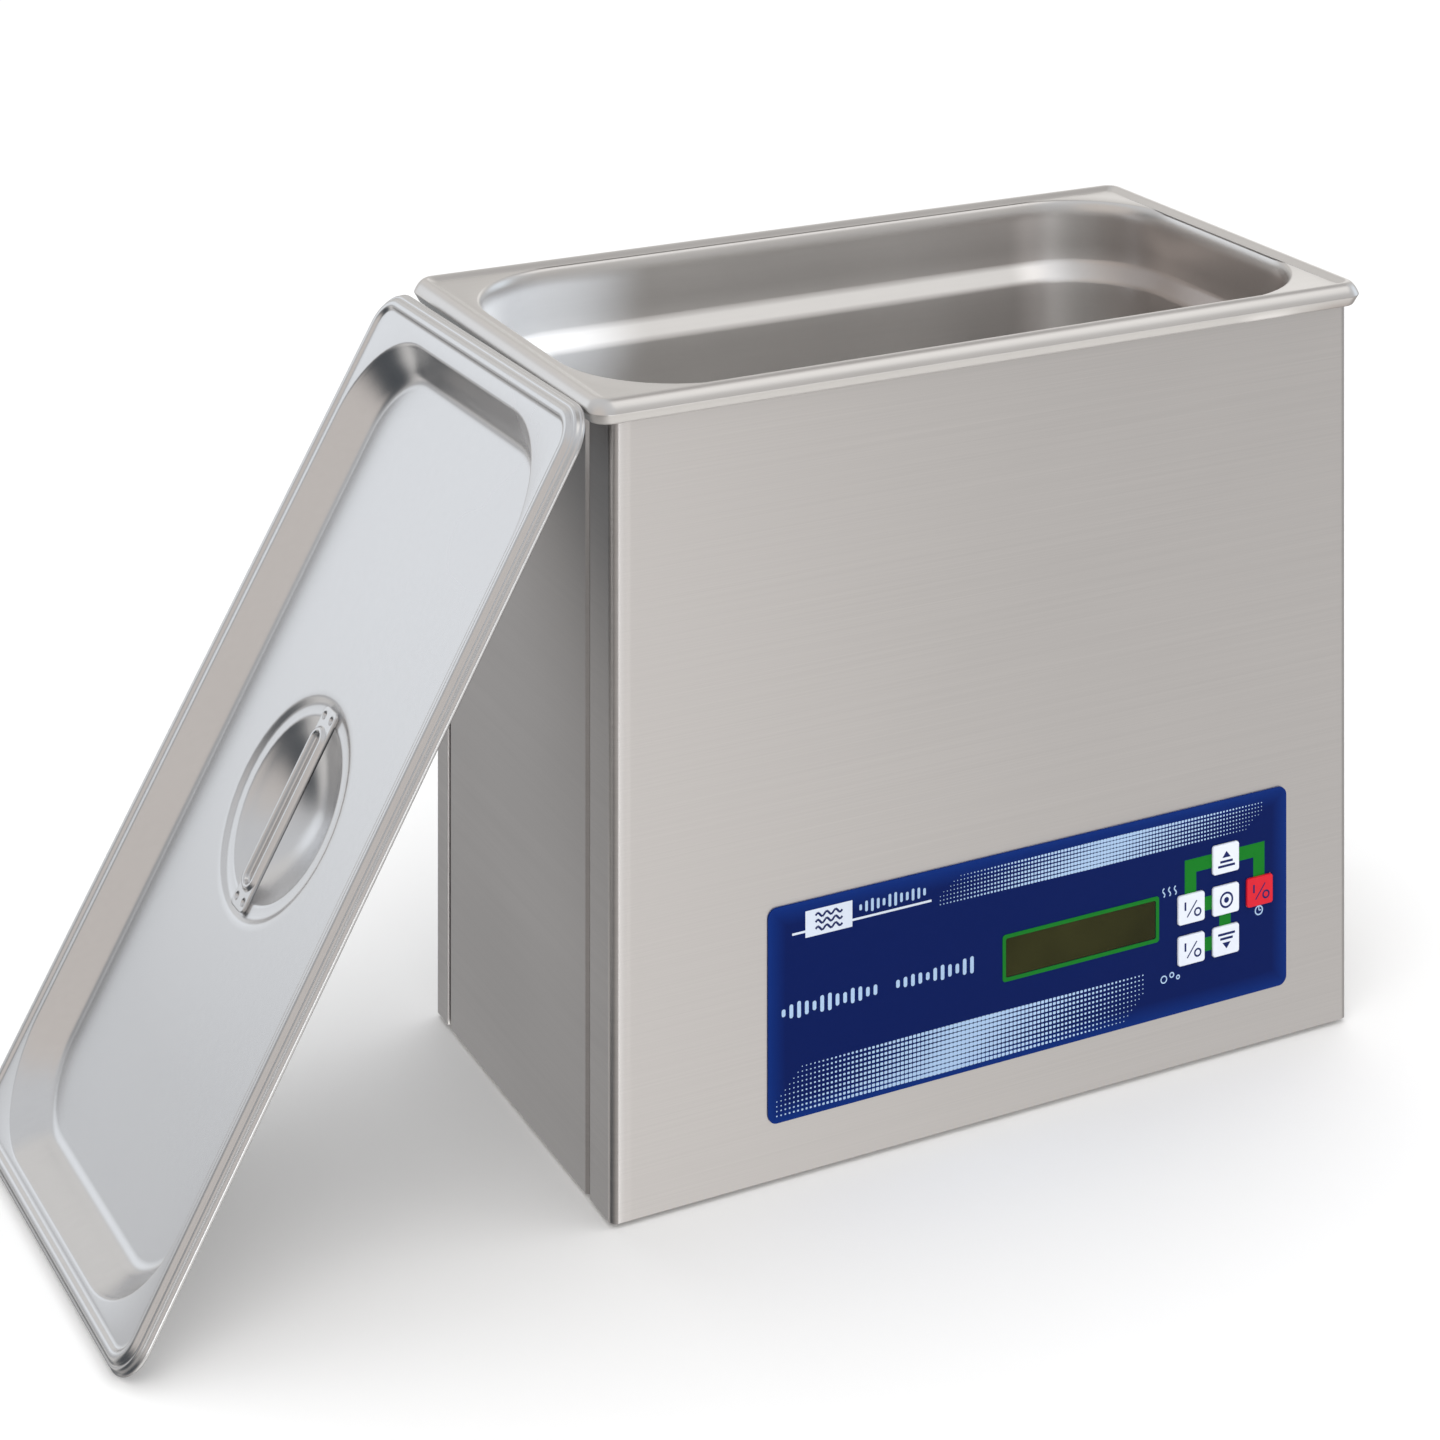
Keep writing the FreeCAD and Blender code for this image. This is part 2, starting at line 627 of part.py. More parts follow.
def panel_overlay():
    sheet = front_plate(PANEL_W, PANEL_H, 3.5, FRONT_Y - PANEL_T, FRONT_Y, PANEL_X, PANEL_Z)
    window = front_plate(DISPLAY_W - 2 * DISPLAY_FRAME, DISPLAY_H - 2 * DISPLAY_FRAME, 0.8,
                         FRONT_Y - 2, FRONT_Y + 1, DISPLAY_X, DISPLAY_Z)
    sheet = sheet.cut(window)
    for x, z in KEYS.values():
        sheet = sheet.cut(front_plate(KEY_W + 0.3, KEY_H + 0.3, 1.2, FRONT_Y - 2, FRONT_Y + 1, x, z))
    return sheet


def display_window():
    clear = GAP
    return front_plate(DISPLAY_W - 2 * DISPLAY_FRAME - clear, DISPLAY_H - 2 * DISPLAY_FRAME - clear, 0.7,
                       FRONT_Y - PANEL_T + 0.1, FRONT_Y, DISPLAY_X, DISPLAY_Z)


def display_frame():
    y0, y1 = FRONT_Y - PANEL_T - 0.2, FRONT_Y - PANEL_T
    ring = front_plate(DISPLAY_W, DISPLAY_H, 1.2, y0, y1, DISPLAY_X, DISPLAY_Z)
    hole = front_plate(DISPLAY_W - 2 * DISPLAY_FRAME, DISPLAY_H - 2 * DISPLAY_FRAME, 0.8,
                       y0 - 1, y1 + 1, DISPLAY_X, DISPLAY_Z)
    return ring.cut(hole)


def key(x, z):
    cap = front_plate(KEY_W, KEY_H, 1.1, KEY_FACE_Y, KEY_BACK_Y, x, z)
    rim = [e for e in cap.Edges if abs(e.BoundBox.YMin - KEY_FACE_Y) < 1e-5
           and abs(e.BoundBox.YMax - KEY_FACE_Y) < 1e-5]
    cap = cap.makeFillet(0.5, rim)
    stem = rod(2.0, STEM_END - KEY_BACK_Y + 0.3, (x, KEY_BACK_Y - 0.3, z), (0, 1, 0))
    return fuse([cap, stem])


# Mains inlet, rocker switch and fan on the rear shell
INLET_W = 28.0
INLET_H = 32.0
ROCKER_W = 20.0
ROCKER_H = 13.0
FAN_SIZE = 60.0
FAN_DEPTH = 20.0
FAN_DUCT_R = 28.0
FAN_HOLE = 25.0
SHAFT_R = 1.5
BORE_CLEAR = 0.05


def power_inlet():
    """Inlet with a recess for a three-pole plug below and a fuse drawer above it."""
    x, z = INLET
    inside = BACK_Y - SHEET
    flange = front_plate(INLET_W + 6, INLET_H + 6, 3.0, BACK_Y, BACK_Y + 2.5, x, z)
    body = front_plate(INLET_W - 0.4, INLET_H - 0.4, 1.8, inside - 22, BACK_Y + 1, x, z)
    shell = fuse([flange, body])
    socket = front_plate(24.0, 17.0, 2.5, inside - 16, BACK_Y + 4, x, z - 5.5)
    bay = front_plate(FUSE_W + 0.3, FUSE_H + 0.3, 0.6, inside - 18, BACK_Y + 4, x, z + FUSE_DZ)
    return shell.cut(socket).cut(bay).cut(inlet_pins())


FUSE_W = 24.0
FUSE_H = 6.4
FUSE_DZ = 10.0


def inlet_pins():
    x, z = INLET
    y0 = BACK_Y - SHEET - 30
    places = ((-7.0, -7.5), (7.0, -7.5), (0.0, -3.5))
    return group(box(x + dx - 2, x + dx + 2, y0, BACK_Y - 3, z + dz - 1, z + dz + 1) for dx, dz in places)


def fuse_drawer():
    x, z = INLET[0], INLET[1] + FUSE_DZ
    inside = BACK_Y - SHEET
    front = front_plate(FUSE_W, FUSE_H, 0.5, inside - 17, BACK_Y + 3.4, x, z)
    tray = front_plate(FUSE_W - 4, FUSE_H, 0.4, inside - 15, BACK_Y - 1, x, z + 2.0)
    grip = front_plate(10.0, 1.2, 0.4, BACK_Y + 2.6, BACK_Y + 4, x, z - 1.6)
    return front.cut(tray).cut(grip)


ROCKER_TILT = 8.0
ROCKER_PIVOT_Y = BACK_Y - 1.0
PIVOT_R = 1.2


def switch_body():
    x, z = ROCKER
    inside = BACK_Y - SHEET
    flange = front_plate(ROCKER_W + 3, ROCKER_H + 3, 1.5, BACK_Y, BACK_Y + 2.0, x, z)
    body = front_plate(ROCKER_W - 0.4, ROCKER_H - 0.4, 0.8, inside - 16, BACK_Y + 1, x, z)
    well = front_plate(16.6, 10.0, 0.4, inside - 9, BACK_Y + 4, x, z)
    shell = fuse([flange, body]).cut(well)
    shell = shell.cut(rod(PIVOT_R + BORE_CLEAR, 12.4, (x, ROCKER_PIVOT_Y, z - 6.2), (0, 0, 1)))
    tabs = [box(x + dx - 2.4, x + dx + 2.4, inside - 25, inside - 15, z - 0.4, z + 0.4) for dx in (-6, 6)]
    return fuse([shell] + tabs)


def switch_rocker():
    """Two-faced rocker that turns on pivot stubs in the switch body, at rest tipped to off."""
    x, z = ROCKER
    half, h = 7.6, 9.6
    y = ROCKER_PIVOT_Y
    points = [(-half, y - 3.0), (half, y - 3.0), (half, y + 4.6), (0.0, y + 3.6), (-half, y + 4.6)]
    rocker = prism([(x + px, py) for px, py in points], z - h / 2, z + h / 2)
    pivot = rod(PIVOT_R, 11.8, (x, y, z - 5.9))
    whole = fuse([rocker, pivot])
    whole.rotate(V(x, y, z), V(0, 0, 1), ROCKER_TILT)
    return whole


def fan_screw_places():
    return [(FAN[0] + sx * FAN_HOLE, FAN[1] + sz * FAN_HOLE) for sx in (-1, 1) for sz in (-1, 1)]


FAN_BACK_Y = BACK_Y - SHEET
FAN_FRONT_Y = FAN_BACK_Y - FAN_DEPTH


def fan_frame():
    frame = front_plate(FAN_SIZE, FAN_SIZE, 4.0, FAN_FRONT_Y, FAN_BACK_Y, *FAN)
    frame = frame.cut(rod(FAN_DUCT_R, FAN_DEPTH, (FAN[0], FAN_FRONT_Y, FAN[1]), (0, 1, 0)))
    for x, z in fan_screw_places():
        frame = frame.cut(rod(SCREW_R + HOLE_CLEAR, FAN_DEPTH, (x, FAN_FRONT_Y, z), (0, 1, 0)))
    hub = rod(13.0, 2.0, (FAN[0], FAN_FRONT_Y, FAN[1]), (0, 1, 0))
    post = rod(4.0, 9.0, (FAN[0], FAN_FRONT_Y, FAN[1]), (0, 1, 0))
    struts = []
    for i in range(4):
        strut = box(-1.5, 1.5, FAN_FRONT_Y, FAN_FRONT_Y + 2.0, 0, FAN_DUCT_R + 0.6)
        strut.rotate(V(0, 0, 0), V(0, 1, 0), 45 + 90 * i)
        strut.translate(V(FAN[0], 0, FAN[1]))
        struts.append(strut)
    frame = fuse([frame, hub, post] + struts)
    return frame.cut(rod(SHAFT_R + BORE_CLEAR, 9.0, (FAN[0], FAN_FRONT_Y, FAN[1]), (0, 1, 0)))


def fan_rotor():
    x, z = FAN
    y0 = FAN_FRONT_Y + 3.0
    depth = FAN_DEPTH - 5.0
    cup = rod(14.0, depth, (x, y0, z), (0, 1, 0)).cut(rod(12.0, depth - 2, (x, y0, z), (0, 1, 0)))
    shaft = rod(SHAFT_R, depth + 1.0, (x, y0 - 2.0, z), (0, 1, 0))
    blades = []
    count, reach, pitch = 7, 26.6, 38.0
    for i in range(count):
        blade = box(-0.7, 0.7, -(depth - 3) / 2, (depth - 3) / 2, 13.2, reach)
        blade.rotate(V(0, 0, 0), V(0, 0, 1), pitch)
        blade.rotate(V(0, 0, 0), V(0, 1, 0), 360.0 * i / count)
        blade.translate(V(x, y0 + depth / 2, z))
        blades.append(blade)
    return fuse([cup, shaft] + blades)


def fan_guard():
    """Finger guard of round wire on the outside of the rear shell."""
    x, z = FAN
    wire = 0.8
    y = BACK_Y + wire
    rings = [Part.makeTorus(r, wire, V(x, y, z), V(0, 1, 0)) for r in (9.0, 15.5, 22.0, 28.5)]
    arms = []
    for sx, sz in ((1, 1), (1, -1), (-1, 1), (-1, -1)):
        end = V(x + sx * FAN_HOLE, y + 1.2, z + sz * FAN_HOLE)
        start = V(x + sx * 5.0, y + 1.2, z + sz * 5.0)
        arms.append(Part.makeCylinder(wire, (end - start).Length, start, end - start))
        arms.append(tube(3.2, SCREW_R + HOLE_CLEAR, 2.0, (end.x, BACK_Y, end.z), (0, 1, 0)))
    guard = fuse(rings + arms)
    for hx, hz in fan_screw_places():
        guard = guard.cut(rod(SCREW_R + HOLE_CLEAR, 8, (hx, BACK_Y - 1, hz), (0, 1, 0)))
    return guard


def fan_screws():
    made = []
    for x, z in fan_screw_places():
        head = rod(2.8, 1.8, (x, BACK_Y + 2.9, z), (0, 1, 0))
        slot = box(x - 3, x + 3, BACK_Y + 4.2, BACK_Y + 5, z - 0.4, z + 0.4)
        shank = rod(SCREW_R, 26.0, (x, BACK_Y + 3.1, z), (0, -1, 0))
        nut = tube(2.7, SCREW_R, 2.2, (x, FAN_FRONT_Y - 2.2, z), (0, 1, 0))
        made.append(fuse([head.cut(slot), shank]))
        made.append(nut)
    return group(made)


# Drain: nipple in the tank floor, hose, and a ball valve through the right side panel
HOSE_OUT = 8.0
HOSE_IN = 5.5
HOSE_BEND = 25.0
VALVE_THREAD_R = 8.0
VALVE_X = 181.0
BALL_R = 9.0
CHAMBER_R = 10.0
BARB_BORE = 4.0
VALVE_BORE = 4.5
TAIL_BORE = 5.0
TAIL_END = 217.0
TAIL_L = 18.0
STEM_R = 2.5
LEVER_L = 46.0


def drain_nipple():
    x, y = DRAIN
    flange = tube(11.0, 5.0, 1.2, (x, y, FLOOR_TOP))
    neck = tube(8.0 - GAP, 5.0, 1.5, (x, y, FLOOR_UNDER - 0.6))
    thread = tube(8.0 - GAP, 4.0, 14.0, (x, y, FLOOR_UNDER - 14.0))
    barb = tube(HOSE_IN, 4.0, 20.0, (x, y, FLOOR_UNDER - 34.0))
    nut = rounded(20.0, 20.0, 3.0, FLOOR_UNDER - 7.0, FLOOR_UNDER - 0.1, DRAIN)
    nut = nut.cut(rod(4.5, 10, (x, y, FLOOR_UNDER - 8)))
    whole = fuse([flange, neck, thread, barb, nut])
    return whole.cut(rod(4.0, 60, (x, y, FLOOR_UNDER - 40)))


def drain_hose():
    x, y = DRAIN
    top = FLOOR_UNDER - 15.0
    turn = VALVE_Z + HOSE_BEND
    end_x = 151.0

    def run(r):
        upright = rod(r, top - turn, (x, y, turn))
        profile = Part.Face(Part.Wire(Part.makeCircle(r, V(x, y, turn), V(0, 0, 1))))
        bend = profile.revolve(V(x + HOSE_BEND, y, turn), V(0, 1, 0), -90)
        level = rod(r, end_x - x - HOSE_BEND, (x + HOSE_BEND, y, VALVE_Z), (1, 0, 0))
        return fuse([upright, bend, level])

    return run(HOSE_OUT).cut(run(HOSE_IN))


def hose_clamps():
    x, y = DRAIN
    made = []
    for start, axis in (((x, y, FLOOR_UNDER - 26.0), (0, 0, 1)), ((141.0, y, VALVE_Z), (1, 0, 0))):
        band = tube(HOSE_OUT + 1.2, HOSE_OUT, 6.0, start, axis)
        ear = box(start[0] - 3, start[0] + 3, y - 15, y - 8.6, start[2], start[2] + 6)
        if axis[0]:
            ear = box(start[0], start[0] + 6, y - 15, y - 8.6, VALVE_Z - 3, VALVE_Z + 3)
        made.append(fuse([band, ear]))
    return group(made)


def valve_body():
    """Body with a hose barb inside, a thread and nut at the panel, a gland and a hose tail."""
    y, z = DRAIN[1], VALVE_Z
    barb = rod(HOSE_IN, 20.0, (139.0, y, z), (1, 0, 0))
    thread = rod(VALVE_THREAD_R, 12.0, (153.0, y, z), (1, 0, 0))
    nut_t = 3.5
    nut = rounded(22.0, 22.0, 4.0, 0, nut_t).common(rod(12.6, nut_t, (0, 0, 0)))
    nut.rotate(V(0, 0, 0), V(0, 1, 0), 90)
    outer_nut = nut.copy()
    nut.translate(V(SIDE_X - 2.2 - nut_t, y, z))
    outer_nut.translate(V(SIDE_X + GAP, y, z))
    core = rod(13.0, 34.0, (VALVE_X - 17, y, z), (1, 0, 0))
    core = core.makeChamfer(1.5, [e for e in core.Edges if e.BoundBox.XLength < 1e-6])
    gland = rod(6.5, 17.5, (VALVE_X, y, z))
    rib_l = 4.0
    rib_count = 3
    ribs_x = TAIL_END - rib_l * rib_count
    tail = rod(8.0, ribs_x - VALVE_X - 16, (VALVE_X + 16, y, z), (1, 0, 0))
    ribs = [cone(7.0, 5.6, rib_l, (ribs_x + rib_l * i, y, z), (1, 0, 0)) for i in range(rib_count)]
    whole = fuse([barb, thread, nut, outer_nut, core, gland, tail] + ribs)
    steps = (
        (BARB_BORE, 139.0, VALVE_X),
        (VALVE_BORE, 157.0, TAIL_END - TAIL_L),
        (CHAMBER_R, VALVE_X - CHAMBER_R, VALVE_X + CHAMBER_R),
        (TAIL_BORE, TAIL_END - TAIL_L, TAIL_END),
    )
    for r, x0, x1 in steps:
        whole = whole.cut(rod(r, x1 - x0, (x0, y, z), (1, 0, 0)))
    return whole.cut(rod(STEM_R + BORE_CLEAR, 30, (VALVE_X, y, z)))


def valve_seats():
    y, z = DRAIN[1], VALVE_Z
    seat_t = 4.0
    made = []
    for x0 in (VALVE_X - CHAMBER_R, VALVE_X + CHAMBER_R - seat_t):
        ring = tube(CHAMBER_R - GAP, VALVE_BORE, seat_t, (x0, y, z), (1, 0, 0))
        made.append(ring.cut(Part.makeSphere(BALL_R + BORE_CLEAR, V(VALVE_X, y, z))))
    return group(made)


def valve_ball():
    """Drilled ball with its stem, the bore across the pipe when the valve is shut."""
    y, z = DRAIN[1], VALVE_Z
    ball = Part.makeSphere(BALL_R, V(VALVE_X, y, z))
    ball = ball.cut(rod(VALVE_BORE, 30, (VALVE_X, y - 15, z), (0, 1, 0)))
    stem = rod(STEM_R, 24.0 - 7.0, (VALVE_X, y, z + 7.0))
    return fuse([ball, stem])


def valve_lever():
    """Flat lever with a downturned step and a cap nut, square on the pipe when shut."""
    y, z = DRAIN[1], VALVE_Z + 19.0
    width, thick = 12.0, 2.5
    eye = rod(7.5, thick, (VALVE_X, y, z))
    arm = box(VALVE_X - width / 2, VALVE_X + width / 2, y - LEVER_L, y, z, z + thick)
    tip = rod(width / 2, thick, (VALVE_X, y - LEVER_L, z))
    lever = fuse([eye, arm, tip]).cut(rod(STEM_R, 10, (VALVE_X, y, z - 1)))
    nut = rod(4.6, 3.5, (VALVE_X, y, z + thick)).cut(rod(STEM_R, 2.6, (VALVE_X, y, z + thick)))
    return fuse([lever, nut])


# Lid: modelled level, top of its rim at z = 0, then leant on the casing's left side
LID_SHEET = 0.8
RECESS_W = 307.0
RECESS_D = 157.0
RECESS_R = 37.0
RECESS_H = 12.0
RECESS_RUN = 13.0
DISH_X = -4.5
DISH_R = 31.5
DISH_RING_R = 38.5
DISH_H = 15.0
DISH_STEP = 1.0
STRAP_L = 72.0
STRAP_W = 11.0
STRAP_T = 1.5
STRAP_H = 2.6
STRAP_FOOT = 6.0


def leant(shape):
    """Moves a level lid part to where the lid leans: foot on the table, head on the flange."""
    tilt = math.radians(LID_TILT)
    yaw = math.radians(LID_YAW)
    head = LID_W / 2 + LID_SHIFT
    foot = LID_W / 2 - LID_SHIFT
    head_x = math.cos(tilt) * head + math.sin(tilt) * LID_RIM_H
    corner_swing = math.sin(yaw) * (LID_D / 2 - LID_R)
    x = FLANGE_X - FLANGE_W / 2 - head_x - corner_swing - LID_CLEAR
    y = LID_SET_BACK - math.sin(yaw) * math.cos(tilt) * head
    z = math.sin(tilt) * foot + math.cos(tilt) * LID_RIM_H
    placed = shape.copy()
    placed.rotate(V(0, 0, 0), V(0, 1, 0), -LID_TILT)
    placed.rotate(V(0, 0, 0), V(0, 0, 1), LID_YAW)
    placed.translate(V(x, y, z))
    return placed


def dish_cap(extra, top):
    """Ball segment of the finger dish, enlarged by a sheet thickness for its underside."""
    ball_r = (DISH_R ** 2 + DISH_H ** 2) / (2 * DISH_H)
    centre_z = top + ball_r - DISH_H
    ball = Part.makeSphere(ball_r + extra, V(DISH_X, 0, centre_z))
    reach = DISH_H + 2 * extra + 1
    return ball.common(rod(DISH_RING_R, reach, (DISH_X, 0, top - reach)))


def lid_pan():
    t = LID_SHEET
    middle = (LID_SHIFT, 0.0)
    rim = rounded(LID_W, LID_D, LID_R, -LID_RIM_H, 0, middle)
    rim = rim.makeFillet(3.0, edges_at(rim, 0))
    under = rounded(LID_W - 2 * t, LID_D - 2 * t, LID_R - t, -LID_RIM_H, -t, middle)
    under = under.makeFillet(2.2, edges_at(under, -t))
    run = 2 * RECESS_RUN
    foot = (RECESS_W - run, RECESS_D - run, RECESS_R - RECESS_RUN, -RECESS_H)
    mouth = (RECESS_W, RECESS_D, RECESS_R, 0)
    foot_out = (RECESS_W - run + 2 * t, RECESS_D - run + 2 * t, RECESS_R - RECESS_RUN + t, -RECESS_H - t)
    mouth_out = (RECESS_W + 2 * t, RECESS_D + 2 * t, RECESS_R + t, 0)
    floor = -RECESS_H
    ring_top = floor + DISH_STEP
    ring = rod(DISH_RING_R, DISH_STEP + t, (DISH_X, 0, floor - t))
    lid = fuse([rim.cut(under), taper(foot_out, mouth_out)]).cut(taper(foot, mouth))
    lid = fuse([lid, ring, dish_cap(t, ring_top)])
    hollow = tube(DISH_RING_R - 1.5, DISH_R + 2.5, DISH_STEP, (DISH_X, 0, floor - t))
    return leant(lid.cut(hollow).cut(dish_cap(0, ring_top)))


def lid_handle():
    """Strap across the dish: flat drilled feet on the dish's ring and a channelled middle."""
    base = -RECESS_H + DISH_STEP
    crown = base + STRAP_H
    middle = (DISH_X, 0.0)
    raised_l = STRAP_L - 2 * STRAP_FOOT
    raised_w = STRAP_W - 1.0
    strap = rounded(STRAP_L, STRAP_W, 2.4, base, base + STRAP_T, middle)
    raised = rounded(raised_l, raised_w, raised_w / 2 - 0.01, base, crown, middle)
    raised = raised.makeFillet(0.6, edges_at(raised, crown))
    groove_l = raised_l - 4.0
    groove_w = raised_w - 4.0
    groove = rounded(groove_l, groove_w, groove_w / 2 - 0.01, base + STRAP_T / 2, crown, middle)
    strap = fuse([strap, raised]).cut(groove)
    for sx in (-1, 1):
        for sy in (-1, 1):
            x = DISH_X + sx * (STRAP_L - STRAP_FOOT) / 2
            strap = strap.cut(rod(0.8, STRAP_T, (x, sy * 3.2, base)))
    return leant(strap)


def nodes():
    """Yields (node name, shape)."""
    tank_shape = tank()
    yield "front_shell", front_shell()
    yield "rear_shell", rear_shell()
    yield "left_side_panel", side_panel(-1)
    yield "right_side_panel", side_panel(1)
    yield "base_plate", base_plate()
    yield "base_screws", group(pan_screw(x, y, CASE_BASE, length=6.0) for x, y in SCREW_PLACES)
    yield "feet", feet()
    yield "foot_screws", foot_screws()
    yield "tank", tank_shape
    yield "flange_seal", flange_seal(tank_shape)
    yield "transducer_front_masses", front_masses()
    yield "piezo_rings", piezo_rings()
    yield "transducer_electrodes", electrodes()
    yield "transducer_back_masses", back_masses()
    yield "transducer_bolts", transducer_bolts()
    yield "transducer_wiring", transducer_wiring()
    yield "heater_pads", heater_pads()
    yield "thermal_cutoff", thermal_cutoff()
    yield "temperature_probe", temperature_probe()
    yield "generator_board", generator_board()
    yield "board_standoffs", board_standoffs()
    yield "board_screws", board_screws()
    yield "heat_sink", heat_sink()
    yield "power_transistors", power_transistors()
    yield "output_transformer", output_transformer()
    yield "filter_capacitors", filter_capacitors()
    yield "toroid_choke", toroid_choke()
    yield "relay", relay()
    yield "control_board", control_board()
    yield "control_standoffs", control_standoffs()
    yield "lcd_module", lcd_module()
    yield "tact_switches", tact_switches()
    yield "ribbon_cable", ribbon_cable()
    yield "panel_overlay", panel_overlay()
    yield "display_window", display_window()
    yield "display_frame", display_frame()
    for name, (x, z) in KEYS.items():
        yield name, key(x, z)
    yield "power_inlet", power_inlet()
    yield "inlet_pins", inlet_pins()
    yield "fuse_drawer", fuse_drawer()
    yield "switch_body", switch_body()
    yield "switch_rocker", switch_rocker()
    yield "fan_frame", fan_frame()
    yield "fan_rotor", fan_rotor()
    yield "fan_guard", fan_guard()
    yield "fan_screws", fan_screws()
    yield "drain_nipple", drain_nipple()
    yield "drain_hose", drain_hose()
    yield "hose_clamps", hose_clamps()
    yield "valve_body", valve_body()
    yield "valve_seats", valve_seats()
    yield "valve_ball", valve_ball()
    yield "valve_lever", valve_lever()
    yield "lid_pan", lid_pan()
    yield "lid_handle", lid_handle()


os.makedirs("parts", exist_ok=True)
for node_name, shape in nodes():
    if not shape.isValid():
        print("invalid:", node_name)
    print(node_name, len(shape.Solids), round(shape.Volume, 1))
    shape.exportStep(os.path.join("parts", node_name + ".step"))
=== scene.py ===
"""Ultrasonic cleaner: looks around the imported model. Metres, +Z up, front facing -Y."""

import json
import math

import bmesh
import bpy
from mathutils import Matrix, Vector


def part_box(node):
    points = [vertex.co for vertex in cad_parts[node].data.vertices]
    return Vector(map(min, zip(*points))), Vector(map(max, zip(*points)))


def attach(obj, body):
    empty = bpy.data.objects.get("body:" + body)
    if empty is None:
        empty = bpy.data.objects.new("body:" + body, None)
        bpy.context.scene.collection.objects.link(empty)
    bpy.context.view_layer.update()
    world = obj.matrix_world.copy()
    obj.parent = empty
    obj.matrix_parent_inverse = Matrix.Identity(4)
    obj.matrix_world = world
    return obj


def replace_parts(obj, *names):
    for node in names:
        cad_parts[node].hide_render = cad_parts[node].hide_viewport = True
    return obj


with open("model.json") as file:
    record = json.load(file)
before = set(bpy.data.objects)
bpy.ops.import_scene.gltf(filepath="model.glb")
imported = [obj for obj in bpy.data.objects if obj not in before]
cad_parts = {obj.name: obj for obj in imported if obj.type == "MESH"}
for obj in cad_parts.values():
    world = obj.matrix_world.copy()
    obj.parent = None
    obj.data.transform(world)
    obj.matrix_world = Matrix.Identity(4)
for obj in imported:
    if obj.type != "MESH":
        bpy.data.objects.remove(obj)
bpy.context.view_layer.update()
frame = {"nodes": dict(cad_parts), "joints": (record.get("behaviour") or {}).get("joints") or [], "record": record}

MM = 0.001
NODES = frame["nodes"]
JOINTS = {j["name"]: j for j in frame["joints"]}

# ---------------------------------------------------------------- places taken from the frame
TANK_LO, TANK_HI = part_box("tank")
PANEL_LO, PANEL_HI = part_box("panel_overlay")
SHELL_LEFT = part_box("front_shell")[0].x
PANEL_FACE = PANEL_LO.y
FLANGE_W = TANK_HI.x - TANK_LO.x
FLANGE_D = TANK_HI.y - TANK_LO.y


